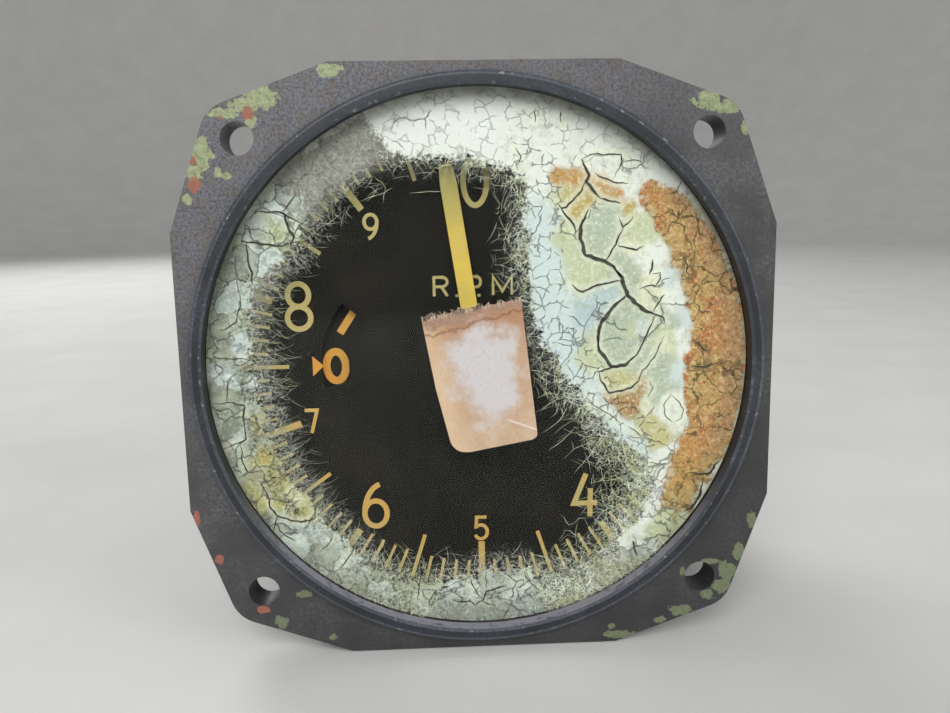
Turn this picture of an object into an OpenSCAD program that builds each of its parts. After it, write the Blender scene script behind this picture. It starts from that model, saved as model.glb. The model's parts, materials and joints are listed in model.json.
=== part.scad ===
// Aircraft tachometer of the magnetic drag kind, in a 3 1/8 inch panel case.
// Millimetres. The dial faces -Y, +X is to its right as it is read, and +Z is up.
// The origin is on the case axis, in the front face of the mounting flange.

/* [Mounting flange] */
// How far the straight edges stand out beyond the bezel ring
flange_margin = 1.4; // [1:0.1:2.4]
// Length of each straight edge
flange_flat = 38.4; // [34:0.2:42]
// Thickness of the flange
flange_thickness = 5; // [3.2:0.1:6]
// Radius of the round about each hole
corner_radius = 4.9; // [4:0.1:5.5]
// Distance from the barrel out to the circle through the four holes
bolt_margin = 5.15; // [4.9:0.05:5.6]
// Diameter of each hole
bolt_hole = 4.4; // [3.6:0.1:5]

/* [Case] */
// Wall between the window's seat and the outside of the case
seat_wall = 0.85; // [0.75:0.05:1.1]
// Width of the ledge that carries the window's gasket
seat_ledge = 1.85; // [1.7:0.05:2]
// Depth left between the movement and the rear edge of the casting
rear_room = 10.1; // [9.5:0.1:20]
// Radius of the lugs and bosses inside the barrel
lug_radius = 3.6; // [3.2:0.1:3.8]
// Thickness of the rear cover
cover_thickness = 3; // [2.5:0.1:4]
// Round on the rear edge of the cover
cover_round = 1.2; // [0.6:0.1:1.6]
// Thickness of the gasket under the cover
cover_gasket = 0.5; // [0.3:0.1:1]

/* [Bezel and window] */
// Width of the bezel ring's face
bezel_width = 1.8; // [1.5:0.1:2.2]
// How far the bezel ring laps over the window
bezel_lap = 0.4; // [0.3:0.1:0.8]
// How far the bezel stands in front of the flange
bezel_stand = 1.4; // [1.2:0.1:2.4]
// Round on the bezel's outer edge
bezel_round = 0.6; // [0.3:0.1:0.7]
// Depth of the window behind the flange face
window_depth = 0.8; // [0.5:0.1:1.2]
// Diameter of the panes
pane_diameter = 76.4; // [72:0.2:84]
// Thickness of each pane
pane_thickness = 1.4; // [1.2:0.1:1.6]
// Thickness of the layer between the panes
film_thickness = 0.4; // [0.3:0.1:0.6]
// Thickness of the window gasket
gasket_thickness = 1; // [0.8:0.1:1.4]

/* [Dial and pointer] */
// Gap between the window and the face of the dial
dial_gap = 3; // [2.8:0.1:3.6]
// Thickness of the dial plate
dial_thickness = 0.6; // [0.4:0.1:0.7]
// Diameter of the hole for the pointer arbor
dial_hole = 3.2; // [2.4:0.1:4]
// Distance from the arbor to the pointer's tip
pointer_reach = 28.7; // [26:0.1:31]
// Width of the pointer's blade
pointer_width = 2.4; // [1.8:0.1:3]
// Width of the pointer's tip
pointer_tip = 1.8; // [1:0.1:1.8]
// Length of the tapered part at the tip
pointer_taper = 3; // [1:0.5:6]
// Thickness of the blade
pointer_thickness = 0.5; // [0.3:0.1:0.6]
// Distance from the arbor to the middle of the tail weight
tail_reach = 8; // [6:0.5:10]
// Angle by which the pointer rests below zero
pointer_rest = 8.4; // [0:0.2:12]

/* [Thousands counter] */
// Gear module of the counter train
counter_module = 0.175; // [0.17:0.005:0.18]
// Teeth on the counter's pinion
counter_pinion_teeth = 10; // [10:1:10]
// Teeth on the counter's wheel
counter_wheel_teeth = 100; // [100:1:100]
// Radius of the ring of numerals on the card
numeral_radius = 11.2; // [10.8:0.1:11.6]
// Width of the band that the window shows
numeral_band = 4.1; // [3.8:0.1:4.4]
// Number of numerals on the card
numeral_count = 5; // [4:1:5]
// Thickness of the card
card_thickness = 0.4; // [0.2:0.1:0.5]

/* [Movement] */
// Gear module of the pointer train
train_module = 0.25; // [0.24:0.005:0.26]
// Teeth on the pointer's pinion
train_pinion_teeth = 15; // [15:1:15]
// Teeth on the drag cup's wheel
train_wheel_teeth = 90; // [90:1:90]
// Thickness of each gear wheel
wheel_thickness = 0.9; // [0.6:0.1:1]
// Amount taken off each flank of a tooth
tooth_play = 0.012; // [0.008:0.002:0.02]
// Highest reading in thousands of revolutions
top_thousands = 4; // [3:1:4]
// Thickness of the front and rear plates
plate_thickness = 2; // [1.6:0.1:2.2]
// Thickness of the bridge
bridge_thickness = 1.6; // [1.4:0.1:1.8]
// Radius of pillars and posts
pillar_radius = 2.2; // [1.8:0.1:2.3]
// Radius of the pointer arbor's pivots
pivot_radius = 0.5; // [0.4:0.05:0.6]
// Radius of the drag cup's arbor
cup_arbor_radius = 1; // [0.8:0.05:1.1]
// Running clearance of every arbor and shaft
running_clearance = 0.03; // [0.02:0.01:0.05]
// Assembly clearance of every fixed joint
seat_clearance = 0.01; // [0.005:0.005:0.02]

/* [Hairspring] */
// Radius of the innermost turn
spring_inner = 2.5; // [2.4:0.1:2.8]
// Radius of the outermost turn
spring_outer = 8.2; // [7.6:0.1:8.4]
// Number of turns
spring_turns = 6; // [4:1:8]
// Thickness of the ribbon
spring_ribbon = 0.15; // [0.1:0.01:0.2]
// Width of the ribbon along the arbor
spring_width = 0.8; // [0.6:0.1:1]

/* [Magnet drive] */
// Outside radius of the magnet
magnet_radius = 12.9; // [11.5:0.1:13]
// Length of the magnet
magnet_length = 9; // [8:0.5:9]
// Radial gap between magnet, cup and field ring
magnet_gap = 0.55; // [0.4:0.05:0.6]
// Thickness of the drag cup's wall
cup_wall = 0.5; // [0.4:0.05:0.6]
// Wall thickness of the field ring
field_wall = 2.8; // [2:0.1:3]
// Radius of the input shaft
shaft_radius = 4; // [3.6:0.1:4.2]
// Width of the square socket in the input shaft
socket_width = 3.4; // [3:0.1:3.8]
// Depth of the square socket
socket_depth = 12; // [8:0.5:14]
// Outside diameter of the threaded drive nipple
nipple_diameter = 22.2; // [21.4:0.1:23]
// Length of the nipple's threaded part
nipple_length = 13; // [11:0.5:16]
// Radius of the nipple's flange
nipple_flange = 13.2; // [12.2:0.1:14]
// Radius of the recess in the nipple's mouth
mouth_radius = 8; // [7:0.1:8.6]
// Depth of the recess in the nipple's mouth
mouth_depth = 6.5; // [5:0.5:7]

/* [Screws and tag] */
// Radius of the small screws' shanks
small_shank = 1.15; // [0.9:0.05:1.2]
// Radius of the small screws' heads
small_head = 1.9; // [1.6:0.1:2]
// Height of the small screws' heads
small_head_height = 1.1; // [0.8:0.1:1.1]
// Radius of the rear cover screws' shanks
cover_shank = 1.3; // [1.1:0.1:1.4]
// Radius of the rear cover screws' heads
cover_head = 2.4; // [2:0.1:2.6]
// Height of the rear cover screws' heads
cover_head_height = 1.6; // [1.2:0.1:2]
// Width of the screw slots
slot_width = 0.6; // [0.4:0.1:0.8]
// Width of the paper tag along its top
tag_top = 14.6; // [10:0.2:18]
// Width of the paper tag along its bottom
tag_bottom = 12.1; // [9:0.1:16]
// Height of the paper tag
tag_height = 19.4; // [14:0.2:24]
// Thickness of the paper tag
tag_thickness = 0.25; // [0.1:0.05:0.4]
// Angle by which the tag leans
tag_tilt = 10; // [0:1:20]

/* [Hidden] */
$fn = 96;

// Gaps along the axis, from the window back to the drive
pointer_gap = 1;
card_gap = 0.85;
counter_gap = 0.35;
plate_gap = 0.6;
spring_gap = 0.6;
train_gap = 2.8;
bridge_gap = 1.7;
cup_gap = 1;
magnet_space = 2.2;
rear_plate_gap = 2;
boss_height = 1.5;
nipple_flange_thickness = 2.2;

// Stations along the axis, in the same order
window_back = window_depth + 2 * pane_thickness + film_thickness;
seat_depth = window_back + gasket_thickness;
dial_front = window_back + dial_gap;
dial_back = dial_front + dial_thickness;
pointer_front = window_back + pointer_gap;
card_front = dial_back + card_gap;
card_back = card_front + card_thickness;
counter_front = card_back + counter_gap;
counter_back = counter_front + wheel_thickness;
plate_front = counter_back + plate_gap;
plate_back = plate_front + plate_thickness;
spring_front = plate_back + spring_gap;
train_front = plate_back + train_gap;
train_back = train_front + wheel_thickness;
bridge_front = train_back + bridge_gap;
bridge_back = bridge_front + bridge_thickness;
cup_front = bridge_back + cup_gap;
magnet_front = cup_front + magnet_space;
magnet_back = magnet_front + magnet_length;
rear_plate_front = magnet_back + rear_plate_gap;
rear_plate_back = rear_plate_front + plate_thickness;
case_length = rear_plate_back + rear_room;
cover_front = case_length + cover_gasket;
cover_back = cover_front + cover_thickness;
boss_back = cover_back + boss_height;
nipple_front = boss_back + nipple_flange_thickness;
nipple_back = nipple_front + nipple_length;

// Radii that follow from the window
pane_clearance = 0.25;
film_margin = 0.2;
gasket_margin = 0.1;
plate_clearance = 0.4;
dial_clearance = 0.3;
spacer_wall = 1.7;
pane_seat = pane_diameter / 2 + pane_clearance;
case_radius = pane_seat + seat_wall;
barrel_radius = pane_seat - seat_ledge;
bezel_inner = pane_diameter / 2 - bezel_lap;
bezel_outer = bezel_inner + bezel_width;
plate_radius = barrel_radius - plate_clearance;
dial_radius = barrel_radius - dial_clearance;

// The flange's outline
hole_offset = (case_radius + bolt_margin) / sqrt(2);
flange_half = bezel_outer + flange_margin;

// Gears: the wheel's short teeth clear the pinion's roots
pressure_angle = 20;
wheel_addendum = 0.6;
pinion_addendum = 1;
root_clearance = 0.2;
counter_offset = counter_module * (counter_pinion_teeth + counter_wheel_teeth) / 2;
train_offset = train_module * (train_pinion_teeth + train_wheel_teeth) / 2;
flank_steps = 3;

// The counter card, with angles clockwise from the top as the dial is read
numeral_step = 36;
index_angle = -90;
card_margin = 16;
card_radius = numeral_radius + numeral_band / 2 + 0.2;
card_rest = pointer_rest * counter_pinion_teeth / counter_wheel_teeth;
card_first = index_angle - card_margin + card_rest;
card_last = index_angle + (numeral_count - 1) * numeral_step + card_margin - 2 + card_rest;
window_low = index_angle - 15;
window_high = index_angle + 43;
stud_radius = 1;
counter_hub = 2.2;

// Places on the movement
pillar_places = [[-21, 14], [21, 14], [-20, -19], [20, -19]];
pillar_edge = 0.7;
rear_plate_radius = norm(pillar_places[2]) + pillar_radius + pillar_edge;
post_reach = 20;
post_places = [[-post_reach, -train_offset / 2], [post_reach, -train_offset / 2]];
post_thread = 4;
bridge_half = 5;
lug_sink = 2;
lug_ring = barrel_radius - lug_sink;
lug_angles = [90, 210, 330];
lug_length = 11.4;
foot_margin = 5.1;
foot_ring = barrel_radius - foot_margin;
foot_angles = [0, 120, 240];
foot_radius = 1.6;
bush_radius = 2;
boss_angles = [45, 135, 225, 315];
boss_length = 8.5;
thread_depth = 8;

// The drag cup's wheel turns between two stops
stop_ring = 9.6;
stop_pin_radius = 0.5;
stop_post_radius = 0.6;
wheel_turn = (top_thousands * 360 + pointer_rest) * train_pinion_teeth / train_wheel_teeth;
stop_start = 120;
stop_touch = (stop_pin_radius + stop_post_radius + 0.05) / stop_ring * 180 / PI;
spring_stud_radius = 0.6;
spring_stud_lean = 0.15;

// The drive
cup_inner = magnet_radius + magnet_gap;
cup_outer = cup_inner + cup_wall;
field_inner = cup_outer + magnet_gap;
hub_radius = shaft_radius + 2;
thrust_play = 0.1;
shaft_front = magnet_front + 0.5;
shaft_back = nipple_back - mouth_depth - 0.5;
bush_lead = 1;
bush_stand = 2;
collar_gap = 3.6;
collar_thickness = 1.4;
collar_front = rear_plate_back + bush_stand + collar_gap;
bush_front = collar_front + collar_thickness + thrust_play;
shank_radius = 9;
nut_thickness = 3;
nut_radius = 12.5;

// The tag's rounded lower corners
tag_centre = [0.4, -1.8];
tag_left_round = 2.2;
tag_right_round = 0.8;

function direction(angle) = [sin(angle), cos(angle)];

// Point where the line from p touches the circle about c, on its outer side
function touch(p, c, r) =
    let (d = c - p, far = norm(d), lean = atan2(d.y, d.x) + asin(r / far))
    p + sqrt(far * far - r * r) * [cos(lean), sin(lean)];

function quarter_turn(p, n) = n == 0 ? p : quarter_turn([p.y, -p.x], n - 1);

// Half the angle that a gear tooth takes up at radius r
function involute(angle) = tan(angle) * 180 / PI - angle;
function tooth_half(teeth, pitch, r) =
    let (base = pitch * cos(pressure_angle))
    90 / teeth - tooth_play / pitch * 180 / PI + involute(pressure_angle)
        - involute(acos(base / max(r, base)));

function gear_outline(teeth, module_size, addendum, dedendum, steps, phase) =
    let (pitch = teeth * module_size / 2,
         root = pitch - (dedendum + root_clearance) * module_size,
         tip = pitch + addendum * module_size)
    [for (tooth = [0:teeth - 1], side = [-1, 1], k = [0:steps])
        let (r = root + (tip - root) * (side < 0 ? k : steps - k) / steps)
        r * direction(phase + 360 * tooth / teeth + side * tooth_half(teeth, pitch, r))];

// Extrudes a sketch drawn as the dial is read, from one station to another
module slab(front, back) {
    translate([0, back, 0])
        rotate([90, 0, 0])
            linear_extrude(back - front)
                children();
}

module rod(front, back, radius, at = [0, 0]) {
    translate([at.x, back, at.y])
        rotate([90, 0, 0])
            cylinder(h = back - front, r = radius);
}

module ring(front, back, outer, inner, at = [0, 0]) {
    difference() {
        rod(front, back, outer, at);
        rod(front - 1, back + 1, inner, at);
    }
}

module wedge(first, last, radius) {
    steps = 4;
    polygon(concat([[0, 0]],
        [for (k = [0:steps]) radius * direction(first + (last - first) * k / steps)]));
}

module wheel_sketch(teeth, module_size, phase) {
    polygon(gear_outline(teeth, module_size, wheel_addendum, pinion_addendum, 1, phase));
}

module pinion_sketch(teeth, module_size, phase) {
    polygon(gear_outline(teeth, module_size, pinion_addendum, wheel_addendum, flank_steps, phase));
}

// Slotted screw whose head rests on a plate: facing -1 puts the head in front of the seat
module screw(seat, facing, length, shank, head, height, at) {
    difference() {
        union() {
            rod(min(seat, seat + facing * height), max(seat, seat + facing * height), head, at);
            rod(min(seat, seat - facing * length), max(seat, seat - facing * length), shank, at);
        }
        translate([at.x - head, seat + facing * height - height / 2, at.y - slot_width / 2])
            cube([2 * head, height, slot_width]);
    }
}

function polar(radius, angle) = radius * [cos(angle), sin(angle)];
function drive_place() = [0, -train_offset];
function counter_place() = [-counter_offset, 0];

module flange_sketch() {
    corner = [hole_offset, hole_offset];
    across = [flange_flat / 2, flange_half];
    down = [flange_half, flange_flat / 2];
    first = touch(across, corner, corner_radius);
    second = [first.y, first.x];
    polygon([for (n = [0:3], p = [across, first, second, down]) quarter_turn(p, n)]);
    for (n = [0:3])
        translate(quarter_turn(corner, n))
            circle(corner_radius);
}

module case() {
    color([0.16, 0.16, 0.17])
        difference() {
            union() {
                slab(0, flange_thickness)
                    flange_sketch();
                difference() {
                    rod(0, case_length, case_radius);
                    rod(seat_depth, case_length + 1, barrel_radius);
                }
                for (angle = lug_angles)
                    rod(plate_back, plate_back + lug_length, lug_radius, polar(lug_ring, angle));
                for (angle = boss_angles)
                    rod(case_length - boss_length, case_length, lug_radius, polar(lug_ring, angle));
            }
            rod(-1, seat_depth, pane_seat);
            rod(seat_depth - 1, plate_back, barrel_radius);
            for (n = [0:3])
                rod(-1, flange_thickness + 1, bolt_hole / 2,
                    quarter_turn([hole_offset, hole_offset], n));
            for (angle = lug_angles)
                rod(plate_back - 1, plate_back + thread_depth, small_shank + seat_clearance,
                    polar(lug_ring, angle));
            for (angle = boss_angles)
                rod(case_length - thread_depth, case_length + 1, cover_shank + seat_clearance,
                    polar(lug_ring, angle));
        }
}

module bezel_ring() {
    shoulder = bezel_stand - bezel_round;
    skirt = pane_seat - seat_clearance - bezel_inner;
    color([0.1, 0.11, 0.13])
        rotate([90, 0, 0])
            rotate_extrude() {
                translate([bezel_inner, 0])
                    square([bezel_width, shoulder]);
                translate([bezel_inner, shoulder - seat_clearance])
                    square([bezel_width - bezel_round, bezel_round + seat_clearance]);
                translate([bezel_outer - bezel_round, shoulder])
                    circle(bezel_round);
                translate([bezel_inner, -window_depth])
                    square([skirt, window_depth + seat_clearance]);
            }
}

module front_pane() {
    color([0.8, 0.85, 0.85, 0.35])
        rod(window_depth, window_depth + pane_thickness, pane_diameter / 2);
}

module interlayer() {
    color([0.85, 0.88, 0.8, 0.6])
        rod(window_depth + pane_thickness, window_depth + pane_thickness + film_thickness,
            pane_diameter / 2 - film_margin);
}

module rear_pane() {
    color([0.8, 0.85, 0.85, 0.35])
        rod(window_back - pane_thickness, window_back, pane_diameter / 2);
}

module glass_gasket() {
    color([0.06, 0.06, 0.06])
        ring(window_back, seat_depth, pane_seat - gasket_margin, barrel_radius + gasket_margin);
}

module dial_spacer() {
    color([0.08, 0.08, 0.08])
        ring(window_back + gasket_margin, dial_front, dial_radius, dial_radius - spacer_wall);
}

module dial() {
    color([0.07, 0.06, 0.05])
        slab(dial_front, dial_back)
            difference() {
                circle(dial_radius);
                circle(dial_hole / 2);
                translate(counter_place())
                    intersection() {
                        difference() {
                            circle(numeral_radius + numeral_band / 2);
                            circle(numeral_radius - numeral_band / 2);
                        }
                        wedge(window_low, window_high, 2 * card_radius);
                    }
            }
}

module dial_feet() {
    color([0.7, 0.6, 0.35])
        for (angle = foot_angles)
            rod(dial_back, plate_front, foot_radius, polar(foot_ring, angle));
}

module pointer() {
    hub = 2.6;
    hub_front = window_back + 0.6;
    weight = 2.1;
    color([0.85, 0.7, 0.15])
        difference() {
            union() {
                rod(hub_front, dial_front - 0.4, hub);
                slab(pointer_front, pointer_front + pointer_thickness)
                    rotate(pointer_rest) {
                        polygon([
                            [-pointer_width / 2, 0],
                            [-pointer_width / 2, pointer_reach - pointer_taper],
                            [-pointer_tip / 2, pointer_reach],
                            [pointer_tip / 2, pointer_reach],
                            [pointer_width / 2, pointer_reach - pointer_taper],
                            [pointer_width / 2, 0]]);
                        translate([-pointer_width / 2, -tail_reach])
                            square([pointer_width, tail_reach]);
                        translate([0, -tail_reach])
                            circle(weight);
                    }
            }
            rod(hub_front + 0.4, dial_front, pivot_radius + seat_clearance);
        }
}

module pointer_arbor() {
    body = pivot_radius + 0.3;
    shoulder = 0.3;
    color([0.7, 0.7, 0.72]) {
        rod(window_back + 1.05, bridge_back - 0.1, pivot_radius);
        rod(plate_back + shoulder, bridge_front - shoulder, body);
        slab(card_back + 0.15, counter_back + 0.25)
            pinion_sketch(counter_pinion_teeth, counter_module, index_angle);
        slab(train_front - 0.3, train_back + 0.3)
            pinion_sketch(train_pinion_teeth, train_module, 180);
    }
}

module pointer_bushes() {
    color([0.75, 0.15, 0.3]) {
        ring(plate_front, plate_back, bush_radius - seat_clearance, pivot_radius + running_clearance);
        ring(bridge_front, bridge_back, bush_radius - seat_clearance, pivot_radius + running_clearance);
    }
}

module counter_card() {
    color([0.05, 0.05, 0.05])
        slab(card_front, card_back)
            translate(counter_place())
                difference() {
                    union() {
                        circle(numeral_radius - numeral_band);
                        intersection() {
                            circle(card_radius);
                            wedge(card_first, card_last, 2 * card_radius);
                        }
                    }
                    circle(counter_hub + seat_clearance);
                }
}

module counter_wheel() {
    crossings = 5;
    gap = 2.2;
    gap_ring = 5.4;
    color([0.75, 0.62, 0.3])
        difference() {
            union() {
                slab(counter_front, counter_back)
                    translate(counter_place())
                        wheel_sketch(counter_wheel_teeth, counter_module,
                            -index_angle + 180 / counter_wheel_teeth);
                rod(card_front - 0.15, plate_front - 0.4, counter_hub, counter_place());
            }
            rod(card_front - 1, plate_front, stud_radius + running_clearance, counter_place());
            for (k = [0:crossings - 1])
                rod(counter_front - 1, counter_back + 1, gap,
                    counter_place() + polar(gap_ring, 360 * k / crossings));
        }
}

module counter_stud() {
    color([0.7, 0.7, 0.72]) {
        rod(dial_back + 0.25, plate_back, stud_radius, counter_place());
        rod(plate_front - 0.3, plate_front, stud_radius + 0.9, counter_place());
    }
}

module counter_clip() {
    color([0.7, 0.7, 0.72])
        ring(dial_back + 0.35, card_front - 0.25, stud_radius + 0.8, stud_radius + seat_clearance,
            counter_place());
}

module front_plate() {
    color([0.72, 0.6, 0.32])
        difference() {
            rod(plate_front, plate_back, plate_radius);
            rod(plate_front - 1, plate_back + 1, bush_radius);
            rod(plate_front - 1, plate_back + 1, bush_radius, drive_place());
            rod(plate_front - 1, plate_back + 1, stud_radius + seat_clearance, counter_place());
            for (place = pillar_places)
                rod(plate_front - 1, plate_back + 1, small_shank + seat_clearance, place);
            for (angle = lug_angles)
                rod(plate_front - 1, plate_back + 1, small_shank + seat_clearance,
                    polar(lug_ring, angle));
        }
}

module front_plate_screws() {
    color([0.6, 0.6, 0.62])
        for (place = pillar_places)
            screw(plate_front, -1, plate_thickness + thread_depth - 1, small_shank, small_head,
                small_head_height, place);
}

module movement_screws() {
    color([0.6, 0.6, 0.62])
        for (angle = lug_angles)
            screw(plate_front, -1, plate_thickness + thread_depth - 1, small_shank, small_head,
                small_head_height, polar(lug_ring, angle));
}

module pillars() {
    color([0.72, 0.6, 0.32])
        for (place = pillar_places)
            difference() {
                rod(plate_back, rear_plate_front, pillar_radius, place);
                rod(plate_back - 1, plate_back + thread_depth, small_shank + seat_clearance, place);
                rod(rear_plate_front - thread_depth, rear_plate_front + 1,
                    small_shank + seat_clearance, place);
            }
}

// A cross: one arm joins the posts and the other carries both bushes
module bridge() {
    arm = 2 * bridge_half;
    color([0.72, 0.6, 0.32])
        slab(bridge_front, bridge_back)
            difference() {
                union() {
                    translate([-post_reach, post_places[0].y - bridge_half])
                        square([2 * post_reach, arm]);
                    translate([-bridge_half, -train_offset])
                        square([arm, train_offset]);
                    for (place = concat(post_places, [[0, 0], drive_place()]))
                        translate(place)
                            circle(bridge_half);
                }
                circle(bush_radius);
                translate(drive_place())
                    circle(bush_radius);
                for (place = post_places)
                    translate(place)
                        circle(small_shank + seat_clearance);
            }
}

module bridge_posts() {
    color([0.72, 0.6, 0.32])
        for (place = post_places)
            difference() {
                rod(plate_back, bridge_front, pillar_radius, place);
                rod(plate_back + 1, bridge_front + 1, small_shank + seat_clearance, place);
            }
}

module bridge_screws() {
    color([0.6, 0.6, 0.62])
        for (place = post_places)
            screw(bridge_back, 1, bridge_thickness + post_thread, small_shank, small_head,
                small_head_height, place);
}

module rear_plate() {
    color([0.72, 0.6, 0.32])
        difference() {
            rod(rear_plate_front, rear_plate_back, rear_plate_radius);
            rod(rear_plate_front - 1, rear_plate_back + 1, hub_radius, drive_place());
            for (place = pillar_places)
                rod(rear_plate_front - 1, rear_plate_back + 1, small_shank + seat_clearance, place);
        }
}

module rear_plate_screws() {
    color([0.6, 0.6, 0.62])
        for (place = pillar_places)
            screw(rear_plate_back, 1, plate_thickness + thread_depth - 1, small_shank, small_head,
                small_head_height, place);
}

module cup_bushes() {
    bore = cup_arbor_radius + running_clearance;
    color([0.75, 0.15, 0.3]) {
        ring(plate_front, plate_back, bush_radius - seat_clearance, bore, drive_place());
        ring(bridge_front, bridge_back, bush_radius - seat_clearance, bore, drive_place());
    }
}

module cup_arbor() {
    color([0.7, 0.7, 0.72])
        rod(plate_front + 0.3, cup_front + 0.6, cup_arbor_radius, drive_place());
}

module cup_wheel() {
    crossings = 6;
    gap = 2.4;
    gap_ring = 6.4;
    hub = 3;
    color([0.75, 0.62, 0.3])
        difference() {
            union() {
                slab(train_front, train_back)
                    translate(drive_place())
                        wheel_sketch(train_wheel_teeth, train_module, 180 / train_wheel_teeth);
                rod(train_front - 0.4, train_back + 0.8, hub, drive_place());
            }
            rod(train_front - 1, train_back + 1, cup_arbor_radius + seat_clearance, drive_place());
            for (k = [0:crossings - 1])
                rod(train_front - 1, train_back + 1, gap,
                    drive_place() + polar(gap_ring, 360 * k / crossings));
        }
}

module stop_pin() {
    color([0.7, 0.7, 0.72])
        rod(train_front - 1, train_front, stop_pin_radius,
            drive_place() + stop_ring * direction(stop_start));
}

module stop_posts() {
    color([0.7, 0.7, 0.72])
        for (angle = [stop_start + stop_touch, stop_start - wheel_turn - stop_touch])
            rod(plate_back, train_front - 0.4, stop_post_radius,
                drive_place() + stop_ring * direction(angle));
}

// Flat spiral whose outer end stops against the stud at the bottom
module hairspring() {
    steps = 20 * spring_turns;
    growth = (spring_outer - spring_inner) / steps;
    side = function (k, off) (spring_inner + growth * k + off)
        * direction(180 - (steps - k) * 360 * spring_turns / steps);
    color([0.35, 0.4, 0.55])
        slab(spring_front, spring_front + spring_width)
            translate(drive_place())
                polygon(concat(
                    [for (k = [0:steps]) side(k, -spring_ribbon / 2)],
                    [for (k = [steps:-1:0]) side(k, spring_ribbon / 2)]));
}

module hairspring_collet() {
    color([0.75, 0.62, 0.3])
        ring(spring_front - 0.2, spring_front + spring_width + 0.2, spring_inner - 0.3,
            cup_arbor_radius + seat_clearance, drive_place());
}

module hairspring_stud() {
    color([0.75, 0.62, 0.3])
        rod(plate_back, spring_front + spring_width + 0.2, spring_stud_radius,
            drive_place() + (spring_outer + spring_stud_lean) * direction(180)
                + (spring_stud_radius + seat_clearance) * direction(270));
}

module drag_cup() {
    hub = 2.5;
    web = 0.6;
    color([0.8, 0.8, 0.82])
        difference() {
            union() {
                rod(cup_front, magnet_back - 0.5, cup_outer, drive_place());
                rod(bridge_back + 0.2, cup_front + web, hub, drive_place());
            }
            rod(cup_front + web, magnet_back + 1, cup_inner, drive_place());
            rod(bridge_back, cup_front + 1, cup_arbor_radius + seat_clearance, drive_place());
        }
}

module field_ring() {
    color([0.4, 0.4, 0.42])
        ring(cup_front + 0.8, rear_plate_front, field_inner + field_wall, field_inner, drive_place());
}

module magnet() {
    color([0.3, 0.3, 0.32])
        ring(magnet_front, magnet_back, magnet_radius, hub_radius + seat_clearance, drive_place());
}

module magnet_hub() {
    color([0.75, 0.62, 0.3])
        ring(magnet_front - 0.2, magnet_back + 0.8, hub_radius, shaft_radius + seat_clearance,
            drive_place());
}

module input_shaft() {
    color([0.6, 0.6, 0.62])
        difference() {
            union() {
                rod(shaft_front, shaft_back, shaft_radius, drive_place());
                rod(collar_front, collar_front + collar_thickness, hub_radius - 0.4, drive_place());
            }
            translate([-socket_width / 2, shaft_back - socket_depth, -train_offset - socket_width / 2])
                cube([socket_width, socket_depth + 1, socket_width]);
        }
}

module front_shaft_bush() {
    color([0.7, 0.5, 0.25])
        ring(rear_plate_front - bush_lead, rear_plate_back + bush_stand, hub_radius - seat_clearance,
            shaft_radius + running_clearance, drive_place());
}

module rear_shaft_bush() {
    color([0.7, 0.5, 0.25])
        ring(bush_front, nipple_back - mouth_depth - 1, hub_radius - seat_clearance,
            shaft_radius + running_clearance, drive_place());
}

module drive_nipple() {
    color([0.5, 0.5, 0.48])
        difference() {
            union() {
                rod(cover_front - nut_thickness - 0.6, boss_back + 1, shank_radius, drive_place());
                rod(boss_back, nipple_front, nipple_flange, drive_place());
                rod(nipple_front - 1, nipple_back, nipple_diameter / 2, drive_place());
            }
            rod(cover_front - nut_thickness - 2, nipple_back, hub_radius, drive_place());
            rod(nipple_back - mouth_depth, nipple_back + 1, mouth_radius, drive_place());
        }
}

module nipple_nut() {
    color([0.5, 0.5, 0.48])
        slab(cover_front - nut_thickness, cover_front)
            translate(drive_place())
                difference() {
                    circle(nut_radius, $fn = 6);
                    circle(shank_radius + seat_clearance);
                }
}

module rear_cover() {
    color([0.16, 0.16, 0.17])
        difference() {
            union() {
                rod(cover_front, cover_back - cover_round, case_radius);
                rod(cover_front, cover_back, case_radius - cover_round);
                rotate([-90, 0, 0])
                    rotate_extrude()
                        translate([case_radius - cover_round, cover_back - cover_round])
                            circle(cover_round);
                rod(cover_back - 1, boss_back, nipple_flange + 1.4, drive_place());
            }
            rod(cover_front - 1, boss_back + 1, shank_radius + seat_clearance, drive_place());
            for (angle = boss_angles)
                rod(cover_front - 1, cover_back + 1, cover_shank + 0.1, polar(lug_ring, angle));
        }
}

module rear_gasket() {
    color([0.25, 0.2, 0.15])
        difference() {
            ring(case_length, cover_front, case_radius, lug_ring - lug_radius);
            for (angle = boss_angles)
                rod(case_length - 1, cover_front + 1, cover_shank + 0.1, polar(lug_ring, angle));
        }
}

module rear_screws() {
    color([0.6, 0.6, 0.62])
        for (angle = boss_angles)
            screw(cover_back, 1, cover_thickness + cover_gasket + thread_depth - 1, cover_shank,
                cover_head, cover_head_height, polar(lug_ring, angle));
}

module paper_tag() {
    half = tag_height / 2;
    left = [-tag_bottom / 2 + tag_left_round, -half + tag_left_round];
    right = [tag_bottom / 2 - tag_right_round, -half + tag_right_round];
    color([0.85, 0.72, 0.55])
        slab(window_depth - tag_thickness, window_depth)
            translate(tag_centre)
                rotate(tag_tilt)
                    polygon(concat(
                        [[-tag_top / 2, half], [tag_top / 2, half]],
                        [for (a = [0:-15:-90]) right + tag_right_round * [cos(a), sin(a)]],
                        [for (a = [-90:-15:-180]) left + tag_left_round * [cos(a), sin(a)]]));
}

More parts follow.
